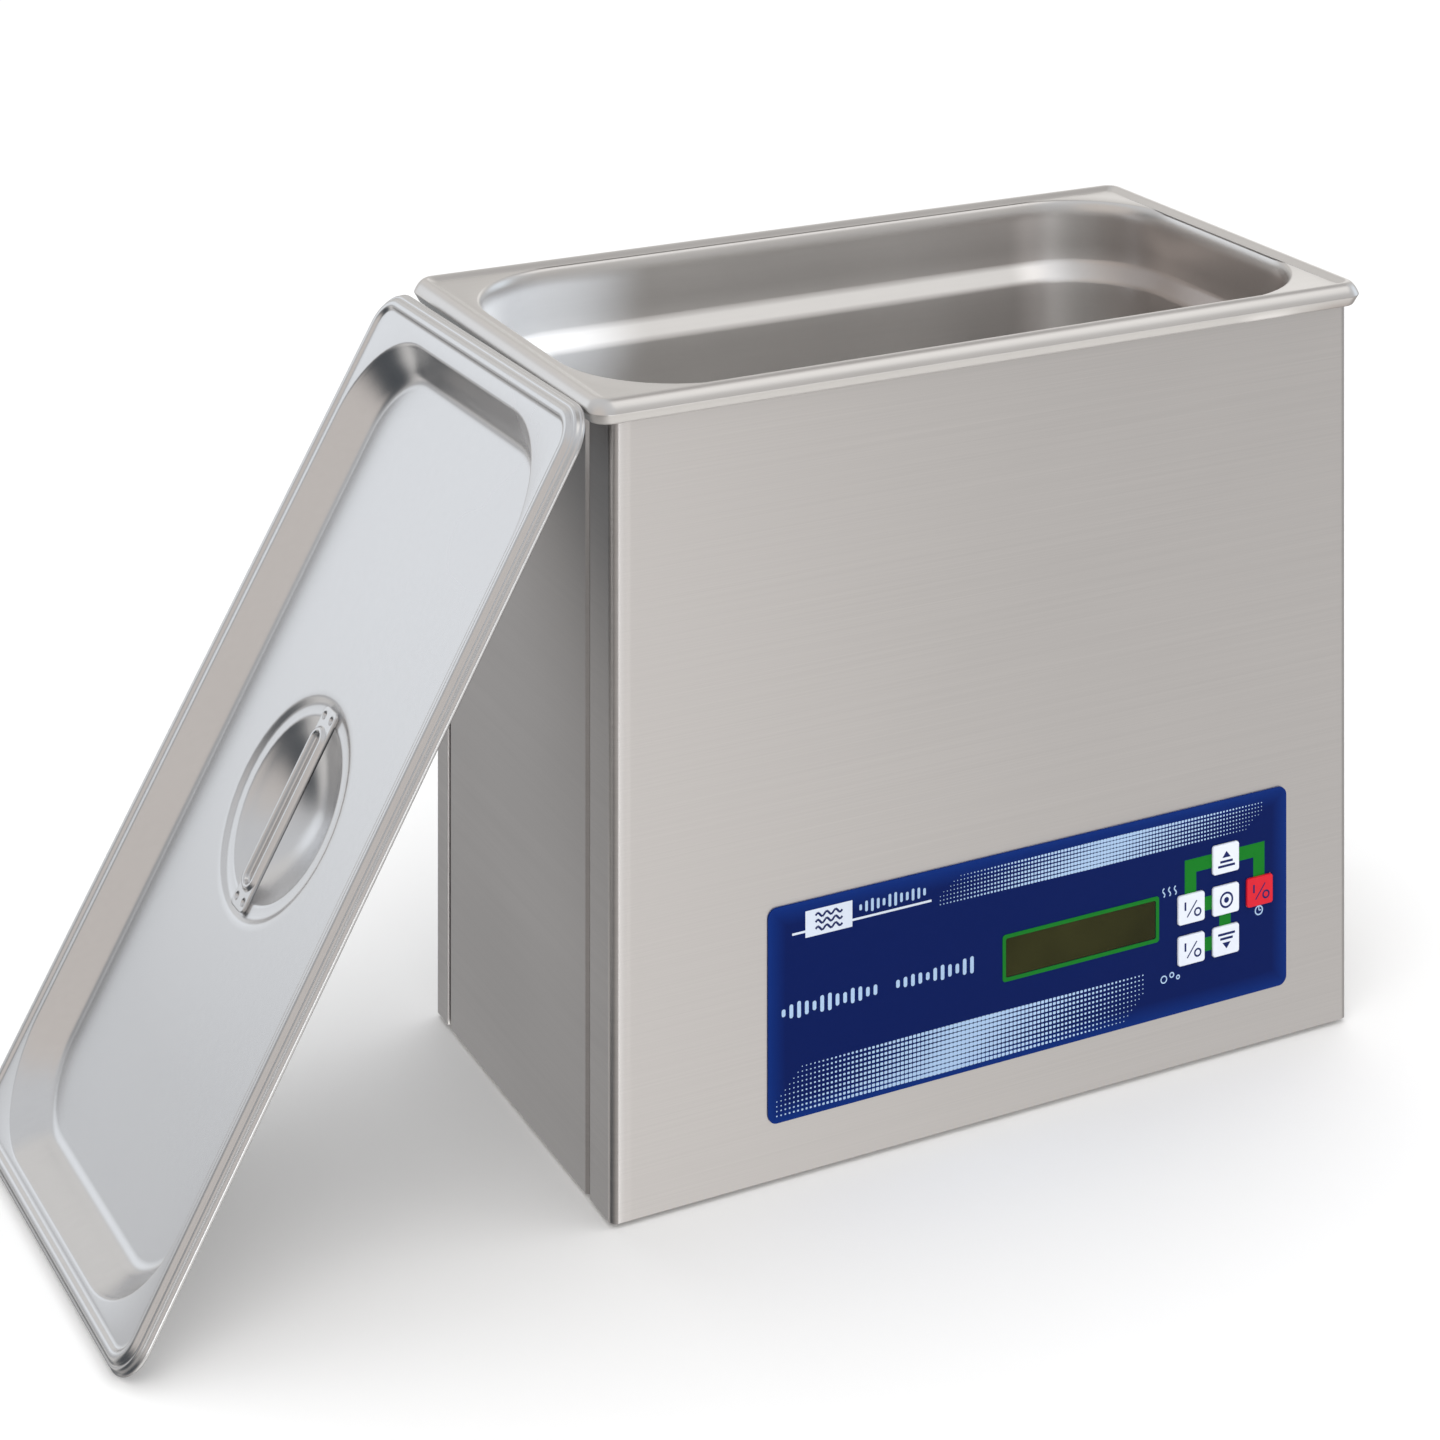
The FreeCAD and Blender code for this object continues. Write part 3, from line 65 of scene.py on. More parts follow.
# ---------------------------------------------------------------- node helpers
class Paint:
    """A material under construction: a Principled shader and short calls for its nodes."""

    def __init__(self, name, color, rough=0.5, metal=0.0, **inputs):
        self.mat = bpy.data.materials.new(name)
        self.mat.use_nodes = True
        self.tree = self.mat.node_tree
        self.shader = self.tree.nodes["Principled BSDF"]
        self.set("Base Color", (*color, 1.0))
        self.set("Roughness", rough)
        self.set("Metallic", metal)
        for key, value in inputs.items():
            self.set(key.replace("_", " "), value)
        self.coords = self.tree.nodes.new("ShaderNodeTexCoord").outputs["Object"]

    def set(self, socket, value):
        self.shader.inputs[socket].default_value = value

    def join(self, a, b):
        self.tree.links.new(a, b)

    def stretched(self, scale):
        node = self.tree.nodes.new("ShaderNodeMapping")
        node.inputs["Scale"].default_value = scale
        self.join(self.coords, node.inputs["Vector"])
        return node.outputs["Vector"]

    def noise(self, scale, detail=3.0, stretch=None, rough=0.5):
        node = self.tree.nodes.new("ShaderNodeTexNoise")
        node.inputs["Scale"].default_value = scale
        node.inputs["Detail"].default_value = detail
        node.inputs["Roughness"].default_value = rough
        self.join(self.stretched(stretch) if stretch else self.coords, node.inputs["Vector"])
        return node.outputs["Fac"]

    def ramp(self, fac, low, high, low_at=0.3, high_at=0.7):
        node = self.tree.nodes.new("ShaderNodeValToRGB")
        for stop, value, at in ((0, low, low_at), (1, high, high_at)):
            element = node.color_ramp.elements[stop]
            element.position = at
            element.color = (*value, 1.0) if isinstance(value, tuple) else (value, value, value, 1.0)
        self.join(fac, node.inputs["Fac"])
        return node.outputs["Color"]

    def math(self, kind, a, b):
        node = self.tree.nodes.new("ShaderNodeMath")
        node.operation = kind
        for socket, value in zip(node.inputs, (a, b)):
            if isinstance(value, (int, float)):
                socket.default_value = value
            else:
                self.join(value, socket)
        return node.outputs[0]

    def share(self, axis, start, end):
        """0 at one place along an axis and 1 at another, in metres."""
        split = self.tree.nodes.new("ShaderNodeSeparateXYZ")
        self.join(self.coords, split.inputs[0])
        node = self.tree.nodes.new("ShaderNodeMapRange")
        node.interpolation_type = "SMOOTHSTEP"
        node.inputs["From Min"].default_value = start
        node.inputs["From Max"].default_value = end
        self.join(split.outputs[axis], node.inputs["Value"])
        return node.outputs[0]

    def grain(self, amount):
        """Highlights drawn out upright, as level grinding marks do on upright faces."""
        upright = self.tree.nodes.new("ShaderNodeCombineXYZ")
        upright.inputs["Z"].default_value = 1.0
        self.set("Anisotropic", amount)
        self.join(upright.outputs[0], self.shader.inputs["Tangent"])

    def product(self, a, b):
        """Two colours multiplied."""
        node = self.tree.nodes.new("ShaderNodeMix")
        node.data_type = "RGBA"
        node.blend_type = "MULTIPLY"
        node.inputs["Factor"].default_value = 1.0
        self.join(a, node.inputs["A"])
        self.join(b, node.inputs["B"])
        return node.outputs["Result"]

    def color(self, output):
        self.join(output, self.shader.inputs["Base Color"])

    def rough(self, output):
        self.join(output, self.shader.inputs["Roughness"])

    def bump(self, height, strength=0.1, distance=0.0002):
        node = self.tree.nodes.new("ShaderNodeBump")
        node.inputs["Strength"].default_value = strength
        node.inputs["Distance"].default_value = distance
        self.join(height, node.inputs["Height"])
        self.join(node.outputs["Normal"], self.shader.inputs["Normal"])


def tint(color, factor):
    return tuple(c * factor for c in color)


# ---------------------------------------------------------------- materials
def brushed_steel(name, color, along="x", rough=0.34, grain=0.5, soft_edge=None):
    """Sheet steel with straight grinding marks along one axis.

    soft_edge is the x of a folded edge that the sheet bends towards over a few millimetres."""
    paint = Paint(name, color, rough, 1.0)
    across, down = 2600.0, 9.0
    stretch = {"x": (down, across, across), "y": (across, down, across), "z": (across, across, down),
               "xy": (down, down, across)}[along]
    fine = paint.noise(1.0, 3.0, stretch, 0.7)
    band = paint.noise(0.18, 2.0, stretch)
    cloud = paint.noise(7.0, 2.0, (1.0, 1.0, 2.2))
    mix = paint.math("ADD", paint.math("MULTIPLY", fine, 0.5), paint.math("MULTIPLY", band, 0.2))
    mix = paint.math("ADD", mix, paint.math("MULTIPLY", cloud, 0.3))
    paint.color(paint.ramp(mix, tint(color, 1 - 0.1 * grain), tint(color, 1 + 0.08 * grain), 0.38, 0.62))
    paint.rough(paint.ramp(mix, rough - 0.03, rough + 0.05, 0.35, 0.65))
    if along == "xy":
        paint.grain(0.8)
    if soft_edge:
        paint.bump(paint.share("X", soft_edge - 0.0075, soft_edge + 0.0075), 1.0, 0.0024)
    return paint.mat


def drawn_steel(name, color, rough=0.3, inside=None):
    """Deep-drawn satin steel: cloudy polish and a few faint hairlines.

    inside is a height below which the surface is duller and paler, as in a tank, with a painted
    highlight in a band near its right end and painted brown shade over the right end itself."""
    paint = Paint(name, color, rough, 1.0)
    cloud = paint.noise(11.0, 3.0)
    hair = paint.noise(1.0, 2.0, (30.0, 500.0, 500.0), 0.6)
    mix = paint.math("ADD", paint.math("MULTIPLY", cloud, 0.7), paint.math("MULTIPLY", hair, 0.3))
    tone = paint.ramp(mix, tint(color, 0.975), tint(color, 1.02), 0.35, 0.65)
    paint.rough(paint.ramp(cloud, rough - 0.02, rough + 0.02, 0.3, 0.7))
    if inside:
        below = paint.share("Z", inside + 0.006, inside)
        paint.join(paint.ramp(below, 1.0, 0.78, 0.0, 1.0), paint.shader.inputs["Metallic"])
        # painted shade: the inside darkens to brown towards the tank's right end
        stain_and_shade = paint.math("MULTIPLY", below, paint.share("X", 0.122, 0.152))
        tone = paint.product(tone, paint.ramp(stain_and_shade, (1.0, 1.0, 1.0), (0.58, 0.53, 0.51), 0.0, 1.0))
        # painted highlight: a pale upright band on the inside just short of the right end
        painted_highlight = paint.math("MULTIPLY", paint.share("X", 0.100, 0.113), paint.share("X", 0.133, 0.118))
        painted_highlight = paint.math("MULTIPLY", painted_highlight, below)
        tone = paint.product(tone, paint.ramp(painted_highlight, (1.0, 1.0, 1.0), (1.36, 1.36, 1.37), 0.0, 1.0))
    paint.color(tone)
    return paint.mat


def moulded(name, color, rough=0.45, grain=0.12, scale=1400.0, **inputs):
    """Moulded plastic or rubber with a fine spark-eroded grain and slight colour drift."""
    paint = Paint(name, color, rough, **inputs)
    fine = paint.noise(scale, 2.0)
    drift = paint.noise(25.0, 2.0)
    paint.color(paint.ramp(drift, tint(color, 0.88), tint(color, 1.12), 0.3, 0.7))
    paint.rough(paint.ramp(fine, max(rough - 0.06, 0.03), rough + 0.08))
    paint.bump(fine, grain, 0.0001)
    return paint.mat


def turned_metal(name, color, rough=0.3, across=1200.0):
    """Lathe-turned or cast metal with rings of fine tool marks."""
    paint = Paint(name, color, rough, 1.0)
    marks = paint.noise(1.0, 3.0, (30.0, 30.0, across))
    stain_and_shade = paint.noise(60.0, 3.0)
    paint.color(paint.ramp(stain_and_shade, tint(color, 0.86), tint(color, 1.06), 0.3, 0.7))
    paint.rough(paint.ramp(marks, rough - 0.06, rough + 0.1))
    paint.bump(marks, 0.15, 0.0001)
    return paint.mat


def membrane(name, color, rough=0.42, shine=0.12):
    """Printed polyester film: deep matt colour that drifts a little, with a fine texture."""
    paint = Paint(name, color, rough, Specular_IOR_Level=shine)
    drift = paint.noise(9.0, 2.0)
    fine = paint.noise(2600.0, 1.0)
    paint.color(paint.ramp(drift, tint(color, 0.9), tint(color, 1.12), 0.3, 0.7))
    paint.rough(paint.ramp(fine, rough - 0.04, rough + 0.06))
    return paint.mat


def film_with_painted_edge_highlight(name, middle, edge):
    """Panel film whose blue lightens towards the panel's outline, a painted highlight along its edges, with a slow
    random drift.
    """
    paint = Paint(name, middle, 0.4, Specular_IOR_Level=0.06)
    split = paint.tree.nodes.new("ShaderNodeSeparateXYZ")
    paint.join(paint.coords, split.inputs[0])
    low, high = PANEL_LO, PANEL_HI
    # painted highlight: the blue lightens within 7 mm of the outline
    reach = 0.007
    near = None
    for socket, value in (("X", low.x), ("X", high.x), ("Z", low.z), ("Z", high.z)):
        away = paint.math("ABSOLUTE", paint.math("SUBTRACT", split.outputs[socket], value), 0.0)
        near = away if near is None else paint.math("MINIMUM", near, away)
    share = paint.math("DIVIDE", near, reach)
    drift = paint.noise(14.0, 2.0)
    share = paint.math("ADD", share, paint.math("MULTIPLY", paint.math("SUBTRACT", drift, 0.5), 0.35))
    paint.color(paint.ramp(share, edge, middle, 0.0, 1.0))
    return paint.mat


def display_with_painted_glow(name, color, painted_glow):
    """Liquid crystal glass, switched off, with a faint painted glow: its emission stands in for light."""
    paint = Paint(name, color, 0.42, Specular_IOR_Level=0.1, Emission_Strength=1.0)
    drift = paint.noise(9.0, 2.0)
    paint.color(paint.ramp(drift, tint(color, 0.9), tint(color, 1.12), 0.3, 0.7))
    # painted glow: emission of about the base colour, whatever the lamps
    light = paint.ramp(drift, tint(painted_glow, 0.9), tint(painted_glow, 1.12), 0.3, 0.7)
    paint.join(light, paint.shader.inputs["Emission Color"])
    return paint.mat


def smoky_film(name, color):
    """Dark smoky window; only a little of the display behind it shows through."""
    paint = Paint(name, color, 0.2, Alpha=0.94, Specular_IOR_Level=0.1)
    haze = paint.noise(30.0, 2.0)
    paint.color(paint.ramp(haze, tint(color, 0.8), tint(color, 1.2), 0.35, 0.7))
    paint.rough(paint.ramp(haze, 0.15, 0.25, 0.45, 0.8))
    return paint.mat


STEEL_WARM = (0.605, 0.584, 0.571)
SILVER = (0.68, 0.68, 0.685)

LOOKS = {
    "casing_steel": lambda: brushed_steel("casing_steel", STEEL_WARM, "xy", soft_edge=SHELL_LEFT),
    # The side panels' steel is painted 3% darker than the front's, as painted shade for the sides.
    "side_steel": lambda: brushed_steel("side_steel", tint(STEEL_WARM, 0.97), "xy", 0.36, 0.4),
    "base_steel": lambda: brushed_steel("base_steel", (0.45, 0.45, 0.44), "x", 0.45, 0.6),
    "tank_steel": lambda: drawn_steel("tank_steel", (0.70, 0.685, 0.67), 0.3, 0.278),
    "lid_steel": lambda: drawn_steel("lid_steel", SILVER, 0.26),
    "screw_zinc": lambda: turned_metal("screw_zinc", (0.6, 0.6, 0.57), 0.3),
    "foot_rubber": lambda: moulded("foot_rubber", (0.02, 0.02, 0.02), 0.75, 0.4, 900.0),
    "seal_rubber": lambda: moulded("seal_rubber", (0.04, 0.04, 0.042), 0.6, 0.3),
    "mass_aluminium": lambda: turned_metal("mass_aluminium", (0.75, 0.75, 0.76), 0.35),
    "mass_steel": lambda: turned_metal("mass_steel", (0.42, 0.42, 0.43), 0.32),
    "piezo_ceramic": lambda: moulded("piezo_ceramic", (0.62, 0.6, 0.52), 0.4, 0.2),
    "electrode_copper": lambda: turned_metal("electrode_copper", (0.8, 0.42, 0.26), 0.3),
    "bolt_black": lambda: moulded("bolt_black", (0.03, 0.03, 0.033), 0.42, 0.2),
    "wire_red": lambda: moulded("wire_red", (0.5, 0.03, 0.02), 0.4, 0.1),
    "heater_silicone": lambda: moulded("heater_silicone", (0.5, 0.12, 0.05), 0.6, 0.5, 700.0),
    "black_plastic": lambda: moulded("black_plastic", (0.018, 0.018, 0.019), 0.42),
    "board_green": lambda: membrane("board_green", (0.02, 0.16, 0.06)),
    "brass_parts": lambda: turned_metal("brass_parts", (0.78, 0.58, 0.28), 0.25),
    "coil_tape": lambda: moulded("coil_tape", (0.55, 0.42, 0.08), 0.35, 0.2),
    "capacitor_sleeve": lambda: moulded("capacitor_sleeve", (0.02, 0.03, 0.07), 0.3, 0.1),
    "relay_blue": lambda: moulded("relay_blue", (0.03, 0.1, 0.4), 0.35),
    "lcd_green": lambda: display_with_painted_glow("lcd_green", (0.02, 0.022, 0.005), (0.021, 0.023, 0.005)),
    "ribbon_grey": lambda: brushed_steel("ribbon_grey", (0.4, 0.4, 0.4), "z", 0.6, 0.4),
    "panel_blue": lambda: film_with_painted_edge_highlight("panel_blue", (0.0012, 0.0095, 0.088), (0.0026, 0.024, 0.17)),
    "window_glass": lambda: smoky_film("window_glass", (0.026, 0.026, 0.006)),
    "panel_green": lambda: membrane("panel_green", (0.004, 0.16, 0.014)),
    "key_pale": lambda: membrane("key_pale", (0.70, 0.74, 0.82), 0.38, 0.2),
    "key_red": lambda: membrane("key_red", (0.62, 0.010, 0.025), 0.38, 0.2),
    "rocker_red": lambda: moulded("rocker_red", (0.5, 0.012, 0.012), 0.25, 0.05),
    "fan_plastic": lambda: moulded("fan_plastic", (0.012, 0.012, 0.013), 0.5),
    "guard_chrome": lambda: turned_metal("guard_chrome", (0.72, 0.72, 0.73), 0.16),
    "hose_silicone": lambda: moulded("hose_silicone", (0.62, 0.62, 0.58), 0.35, 0.1),
    "valve_brass": lambda: turned_metal("valve_brass", (0.72, 0.66, 0.52), 0.3),
    "seat_white": lambda: moulded("seat_white", (0.8, 0.8, 0.79), 0.4),
    "lever_steel": lambda: brushed_steel("lever_steel", (0.55, 0.55, 0.54), "y", 0.35, 0.8),
    "print_pale": lambda: membrane("print_pale", (0.38, 0.53, 0.74)),
    "print_white": lambda: membrane("print_white", (0.62, 0.68, 0.78)),
    "print_navy": lambda: membrane("print_navy", (0.006, 0.014, 0.10)),
    "print_green": lambda: membrane("print_green", (0.003, 0.17, 0.012)),
    "lever_vinyl": lambda: moulded("lever_vinyl", (0.42, 0.015, 0.015), 0.4, 0.3, 900.0),
}
_made = {}


def look(slot):
    if slot not in _made:
        _made[slot] = LOOKS[slot]()
    return _made[slot]


def paint_cad():
    """Gives every CAD node its slot's material, through object-linked slots."""
    for row in frame["record"]["subparts"]:
        node = NODES[row["node"]]
        if not node.material_slots:
            node.data.materials.append(None)
        for slot in node.material_slots:
            slot.link = "OBJECT"
            slot.material = look(row["material_slot"])


# ---------------------------------------------------------------- mesh helpers
def add_piece(name, verts, faces, slot, body, smooth=True):
    """Makes a mesh piece in the row frame and rides it on a body."""
    mesh = bpy.data.meshes.new(name)
    mesh.from_pydata([tuple(v) for v in verts], [], faces)
    mesh.validate()
    mesh.materials.append(look(slot))
    for polygon in mesh.polygons:
        polygon.use_smooth = smooth
    piece = bpy.data.objects.new(name, mesh)
    bpy.context.scene.collection.objects.link(piece)
    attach(piece, body)
    return piece


CORNER_STEPS = 14
SIDE_STEPS = 10


def rounded_loop(w, d, r, z):
    """Points round a rounded rectangle, counter-clockwise, the same count for every size."""
    points = []
    centres = ((1, 1, 0.0), (-1, 1, 90.0), (-1, -1, 180.0), (1, -1, 270.0))
    for i, (sx, sy, start) in enumerate(centres):
        cx, cy = sx * (w / 2 - r), sy * (d / 2 - r)
        for k in range(CORNER_STEPS + 1):
            a = math.radians(start + 90.0 * k / CORNER_STEPS)
            points.append(Vector((cx + r * math.cos(a), cy + r * math.sin(a), z)))
        nx, ny, nstart = centres[(i + 1) % 4]
        a = math.radians(nstart)
        end = Vector((nx * (w / 2 - r) + r * math.cos(a), ny * (d / 2 - r) + r * math.sin(a), z))
        last = points[-1].copy()
        for k in range(1, SIDE_STEPS):
            points.append(last.lerp(end, k / SIDE_STEPS))
    return points


def round_loop(r, z, like):
    """Circle whose points lie in the same directions as those of another loop."""
    width = max(p.x for p in like)
    depth = max(p.y for p in like)
    points = []
    for p in like:
        a = math.atan2(p.y / depth, p.x / width)
        points.append(Vector((r * math.cos(a), r * math.sin(a), z)))
    return points


def loft(loops):
    """Vertices and faces of a skin through equal loops, with an n-gon at each end."""
    count = len(loops[0])
    verts = [p for ring in loops for p in ring]
    faces = []
    for i in range(len(loops) - 1):
        for k in range(count):
            n = (k + 1) % count
            a, b = i * count + k, i * count + n
            faces.append((a, b, b + count, a + count))
    faces.append(tuple(reversed(range(count))))
    faces.append(tuple(range((len(loops) - 1) * count, len(loops) * count)))
    return verts, faces


def arc(cx, cz, r, start, end, steps):
    """(offset, height) points along an arc, angles in degrees."""
    points = []
    for i in range(steps + 1):
        a = math.radians(start + (end - start) * i / steps)
        points.append((cx + r * math.cos(a), cz + r * math.sin(a)))
    return points


def outward(verts, faces):
    """Flips faces so that normals point out of the closed skin."""
    bm = bmesh.new()
    made = [bm.verts.new(v) for v in verts]
    for f in faces:
        bm.faces.new([made[i] for i in f])
    bmesh.ops.recalc_face_normals(bm, faces=bm.faces)
    bm.verts.index_update()
    out = [[v.index for v in f.verts] for f in bm.faces]
    bm.free()
    return out


# ---------------------------------------------------------------- tank
def rim_profile(top, crest, drop, sheet):
    """Bead round the flange as (inset, z), from the flat field outwards and down to its hem.

    top is the field's height, crest the bead's rise above it, drop the fall to the hem."""
    hem = top - drop
    crown = top + crest
    over = [(8.6, top), (8.1, top + 0.02 * crest), (7.8, top + 0.09 * crest), (6.5, top + 0.55 * crest)]
    over += [(5.4, crown - 0.11 * crest), (5.1, crown - 0.04 * crest), (4.7, crown), (4.3, crown)]
    over += [(3.7, crown - 0.12), (3.1, crown - 0.42), (2.4, crown - 0.95), (1.8, crown - 1.6)]
    over += [(1.2, crown - 2.4), (0.7, crown - 3.2), (0.35, crown - 3.9), (0.12, crown - 4.4)]
    over += [(0.0, crown - 4.7), (0.1, crown - 4.95), (0.45, crown - 5.5), (1.0, crown - 6.4)]
    over += [(1.7, hem + 0.9), (2.2, hem + 0.2), (2.5, hem)]
    under = [(2.9, hem + 0.1), (3.2, hem + 0.5), (2.6, hem + 1.8), (1.5, hem + 3.6), (1.6, crown - 4.0)]
    under += [(3.2, crown - 1.5), (4.4, crown - sheet), (5.2, crown - sheet), (6.6, top + 0.2)]
    under += [(8.2, top - sheet)]
    return over, under


def tank_skin():
    """One closed skin: underside, hem, rim, field, roll into the tank, walls and floor."""
    w, d = FLANGE_W / MM, FLANGE_D / MM
    crest, sheet = 1.5, 0.8
    top = TANK_HI.z / MM - crest
    hem_r, mouth_r, roll, fall = 9.0, 47.0, 2.4, 6.5
    mouth_w, mouth_d = 312.0, 160.0
    aside = Vector(((TANK_HI.x + TANK_LO.x) / 2 / MM, 0, 0))
    floor = TANK_LO.z / MM + sheet
    over, under = rim_profile(top, crest, 7.1, sheet)

    def rim_loop(inset, z):
        loop = rounded_loop(w - 2 * inset, d - 2 * inset, max(hem_r - inset, 2.4), z)
        return [p + aside for p in loop]

    def bowl(extra, depth_z):
        """Loops from the mouth down to the floor, for the inner skin or its outside."""
        loops = []
        for i in range(1, 10):
            a = math.radians(90.0 * i / 9)
            inset = roll * math.sin(a)
            z = depth_z(top) - fall * (1 - math.cos(a))
            shift = inset - extra * math.sin(a)
            loops.append(rounded_loop(mouth_w - 2 * shift, mouth_d - 2 * shift, mouth_r - shift, z))
        wall = roll - extra
        for inset, z in ((0.0, 268.0), (0.0, 261.8), (0.15, 261.0), (0.55, 260.1), (1.1, 259.2),
                         (4.0, 255.2), (4.55, 254.3), (4.87, 253.5), (5.0, 252.6), (5.0, 246.0),
                         (5.2, 200.0), (5.4, 160.0)):
            s = wall + inset
            loops.append(rounded_loop(mouth_w - 2 * s, mouth_d - 2 * s, mouth_r - s, z))
        corner = 12.0 + extra
        base = depth_z(floor)
        for i in range(0, 11):
            a = math.radians(90.0 * i / 10)
            s = wall + 5.5 + corner * (1 - math.cos(a))
            z = base + corner * (1 - math.sin(a))
            loops.append(rounded_loop(mouth_w - 2 * s, mouth_d - 2 * s, mouth_r - s, z))
        for share in (0.72, 0.4, 0.1):
            loops.append(rounded_loop((mouth_w - 46) * share, (mouth_d - 46) * share, 30 * share, base))
        return loops

    loops = list(reversed(bowl(sheet, lambda z: z - sheet)))
    loops.append(rounded_loop(mouth_w + 1, mouth_d + 2, mouth_r - 6, top - sheet))
    loops += [rim_loop(inset, z) for inset, z in reversed(under)]
    loops += [rim_loop(inset, z) for inset, z in reversed(over)]
    field = rim_loop(8.6, top)
    mouth = rounded_loop(mouth_w, mouth_d, mouth_r, top)
    loops.append([a.lerp(b, 0.5) for a, b in zip(field, mouth)])
    loops.append(mouth)
    loops += bowl(0.0, lambda z: z)
    return loops


def build_tank():
    loops = tank_skin()
    verts, faces = loft(loops)
    verts = [v * MM for v in verts]
    piece = add_piece("tank_shell", verts, outward(verts, faces), "tank_steel", "casing")
    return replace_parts(piece, "tank")


# ---------------------------------------------------------------- lid
LID_SHIFT = 1.5
DISH_X = -4.5


def lid_frame():
    """Matrix from the level lid (rim top at z = 0, in millimetres) to where it leans."""
    normal = Vector(JOINTS["lid_lift"]["axis"]).normalized()
    width_axis = Vector((0, 0, 1)).cross(normal).normalized() * -1
    length_axis = width_axis.cross(normal).normalized()
    if length_axis.z < 0:
        length_axis.negate()
        width_axis.negate()
    middle = []
    for axis in (length_axis, width_axis, normal):
        along = [v.co.dot(axis) for v in NODES["lid_pan"].data.vertices]
        low, high = min(along), max(along)
        middle.append(high if axis is normal else (low + high) / 2)
    centre = length_axis * (middle[0] - LID_SHIFT * MM) + width_axis * middle[1] + normal * middle[2]
    turn = Matrix((length_axis, width_axis, normal)).transposed().to_4x4()
    return Matrix.Translation(centre) @ turn @ Matrix.Scale(MM, 4)


LID = lid_frame()


def lid_skin():
    """One closed skin of the pressed lid, from the underside's middle round the hem to the dish."""
    w, d, rim_r = 329.0, 175.0, 15.0
    drop, sheet = 5.5, 0.8
    field = -1.2
    recess_w, recess_d, recess_r = 307.0, 157.0, 37.0
    depth, run = 12.0, 14.0
    over = [(8.4, field), (7.6, field), (7.1, field + 0.12), (6.7, field + 0.45), (6.4, -0.45), (6.0, -0.12)]
    over += [(5.4, 0.0), (4.6, 0.0), (3.9, -0.12), (3.3, -0.55), (2.9, -1.15), (2.55, -1.6)]
    over += [(2.2, -1.75), (1.85, -1.7), (1.55, -1.8), (1.2, -2.15), (0.95, -2.7), (0.8, -3.2)]
    over += [(0.5, -3.6), (0.12, -3.9), (0.0, -4.4), (0.05, -5.0), (0.3, -5.4), (0.6, -drop)]
    under = [(1.0, -5.3), (1.2, -4.7), (1.5, -4.0), (1.8, -3.2), (2.3, -2.7), (3.0, -2.3)]
    under += [(3.9, -1.2), (5.2, -0.8), (6.2, -1.2), (7.4, field - sheet), (8.4, field - sheet)]

    def rim_loop(inset, z):
        loop = rounded_loop(w - 2 * inset, d - 2 * inset, max(rim_r - inset, 5.0), z)
        return [p + Vector((LID_SHIFT, 0, 0)) for p in loop]

    def off_centre(loop):
        return [p + Vector((DISH_X, 0, 0)) for p in loop]

    def pan(extra, z_of):
        """Loops from the recess edge down its wall, over the floor and into the round dish."""
        loops = []
        steps = ((0.0, field), (0.5, field - 0.1), (1.0, field - 0.4), (1.5, field - 0.95),
                 (2.2, field - 1.8), (5.0, -5.2), (8.6, -9.2), (9.8, -10.5), (10.8, -11.25), (11.9, -11.75),
                 (13.0, -11.96), (run, -depth))
        for s, z in steps:
            s -= extra * 0.7
            loops.append(rounded_loop(recess_w - 2 * s, recess_d - 2 * s, recess_r - s * 0.95, z_of(z)))
        base = rounded_loop(recess_w - 2 * run, recess_d - 2 * run, recess_r - run * 0.95, 0)
        edge = off_centre(round_loop(46.0, z_of(-depth), base))
        loops.append([Vector((*p.lerp(q, 0.5).xy, z_of(-depth))) for p, q in zip(base, edge)])
        loops.append(edge)
        dish = [(41.0, -depth), (39.2, -depth), (38.6, -depth - 0.08), (38.0, -depth - 0.3)]
        dish += [(36.9, -depth - 0.95)]
        dish += [(36.2, -depth - 1.22), (35.5, -depth - 1.3), (33.0, -depth - 1.3), (32.2, -depth - 1.32)]
        dish += [(31.7, -depth - 1.5), (31.1, -depth - 1.95)]
        reach, deep = 31.1, 13.0
        for i in range(1, 12):
            share = i / 12
            dish.append((reach * (1 - share), -depth - 1.95 - deep * math.sin(share * math.pi / 2) ** 1.15))
        for r, z in dish:
            loops.append(off_centre(round_loop(r, z_of(z), base)))
        return loops

    loops = list(reversed(pan(sheet, lambda z: z - sheet)))
    loops += [rim_loop(inset, z) for inset, z in reversed(under)]
    loops += [rim_loop(inset, z) for inset, z in reversed(over)]
    loops += pan(0.0, lambda z: z)
    return loops


def build_lid():
    verts, faces = loft(lid_skin())
    verts = [LID @ v for v in verts]
    piece = add_piece("lid_shell", verts, outward(verts, faces), "lid_steel", "lid")
    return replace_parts(piece, "lid_pan")


def strap_height(x, y, length, width, low):
    """Height of the strap's top: flat feet, a raised rim and an obround channel inside it."""
    reach = length / 2 - 6.5
    half = width / 2 - 0.5

    def inside(span, half_width):
        """Distance in from the outline of an obround of this half length and half width."""
        over = max(0.0, abs(x) - (span - half_width))
        return half_width - math.hypot(over, y)

    top = low + 1.5
    top += 1.1 * min(1.0, max(0.0, inside(reach, half) / 0.7))
    top -= 2.0 * min(1.0, max(0.0, inside(reach - 2.0, half - 1.9) / 0.7))
    edge = width / 2 - abs(y)
    if edge < 0.5:
        top -= 0.5 - math.sqrt(max(0.0, 0.25 - (0.5 - edge) ** 2))
    for hole in (-3.0, 3.0):
        away = math.hypot(abs(x) - (length / 2 - 3.2), y - hole)
        top -= 1.2 * min(1.0, max(0.0, (1.25 - away) / 0.3))
    return top


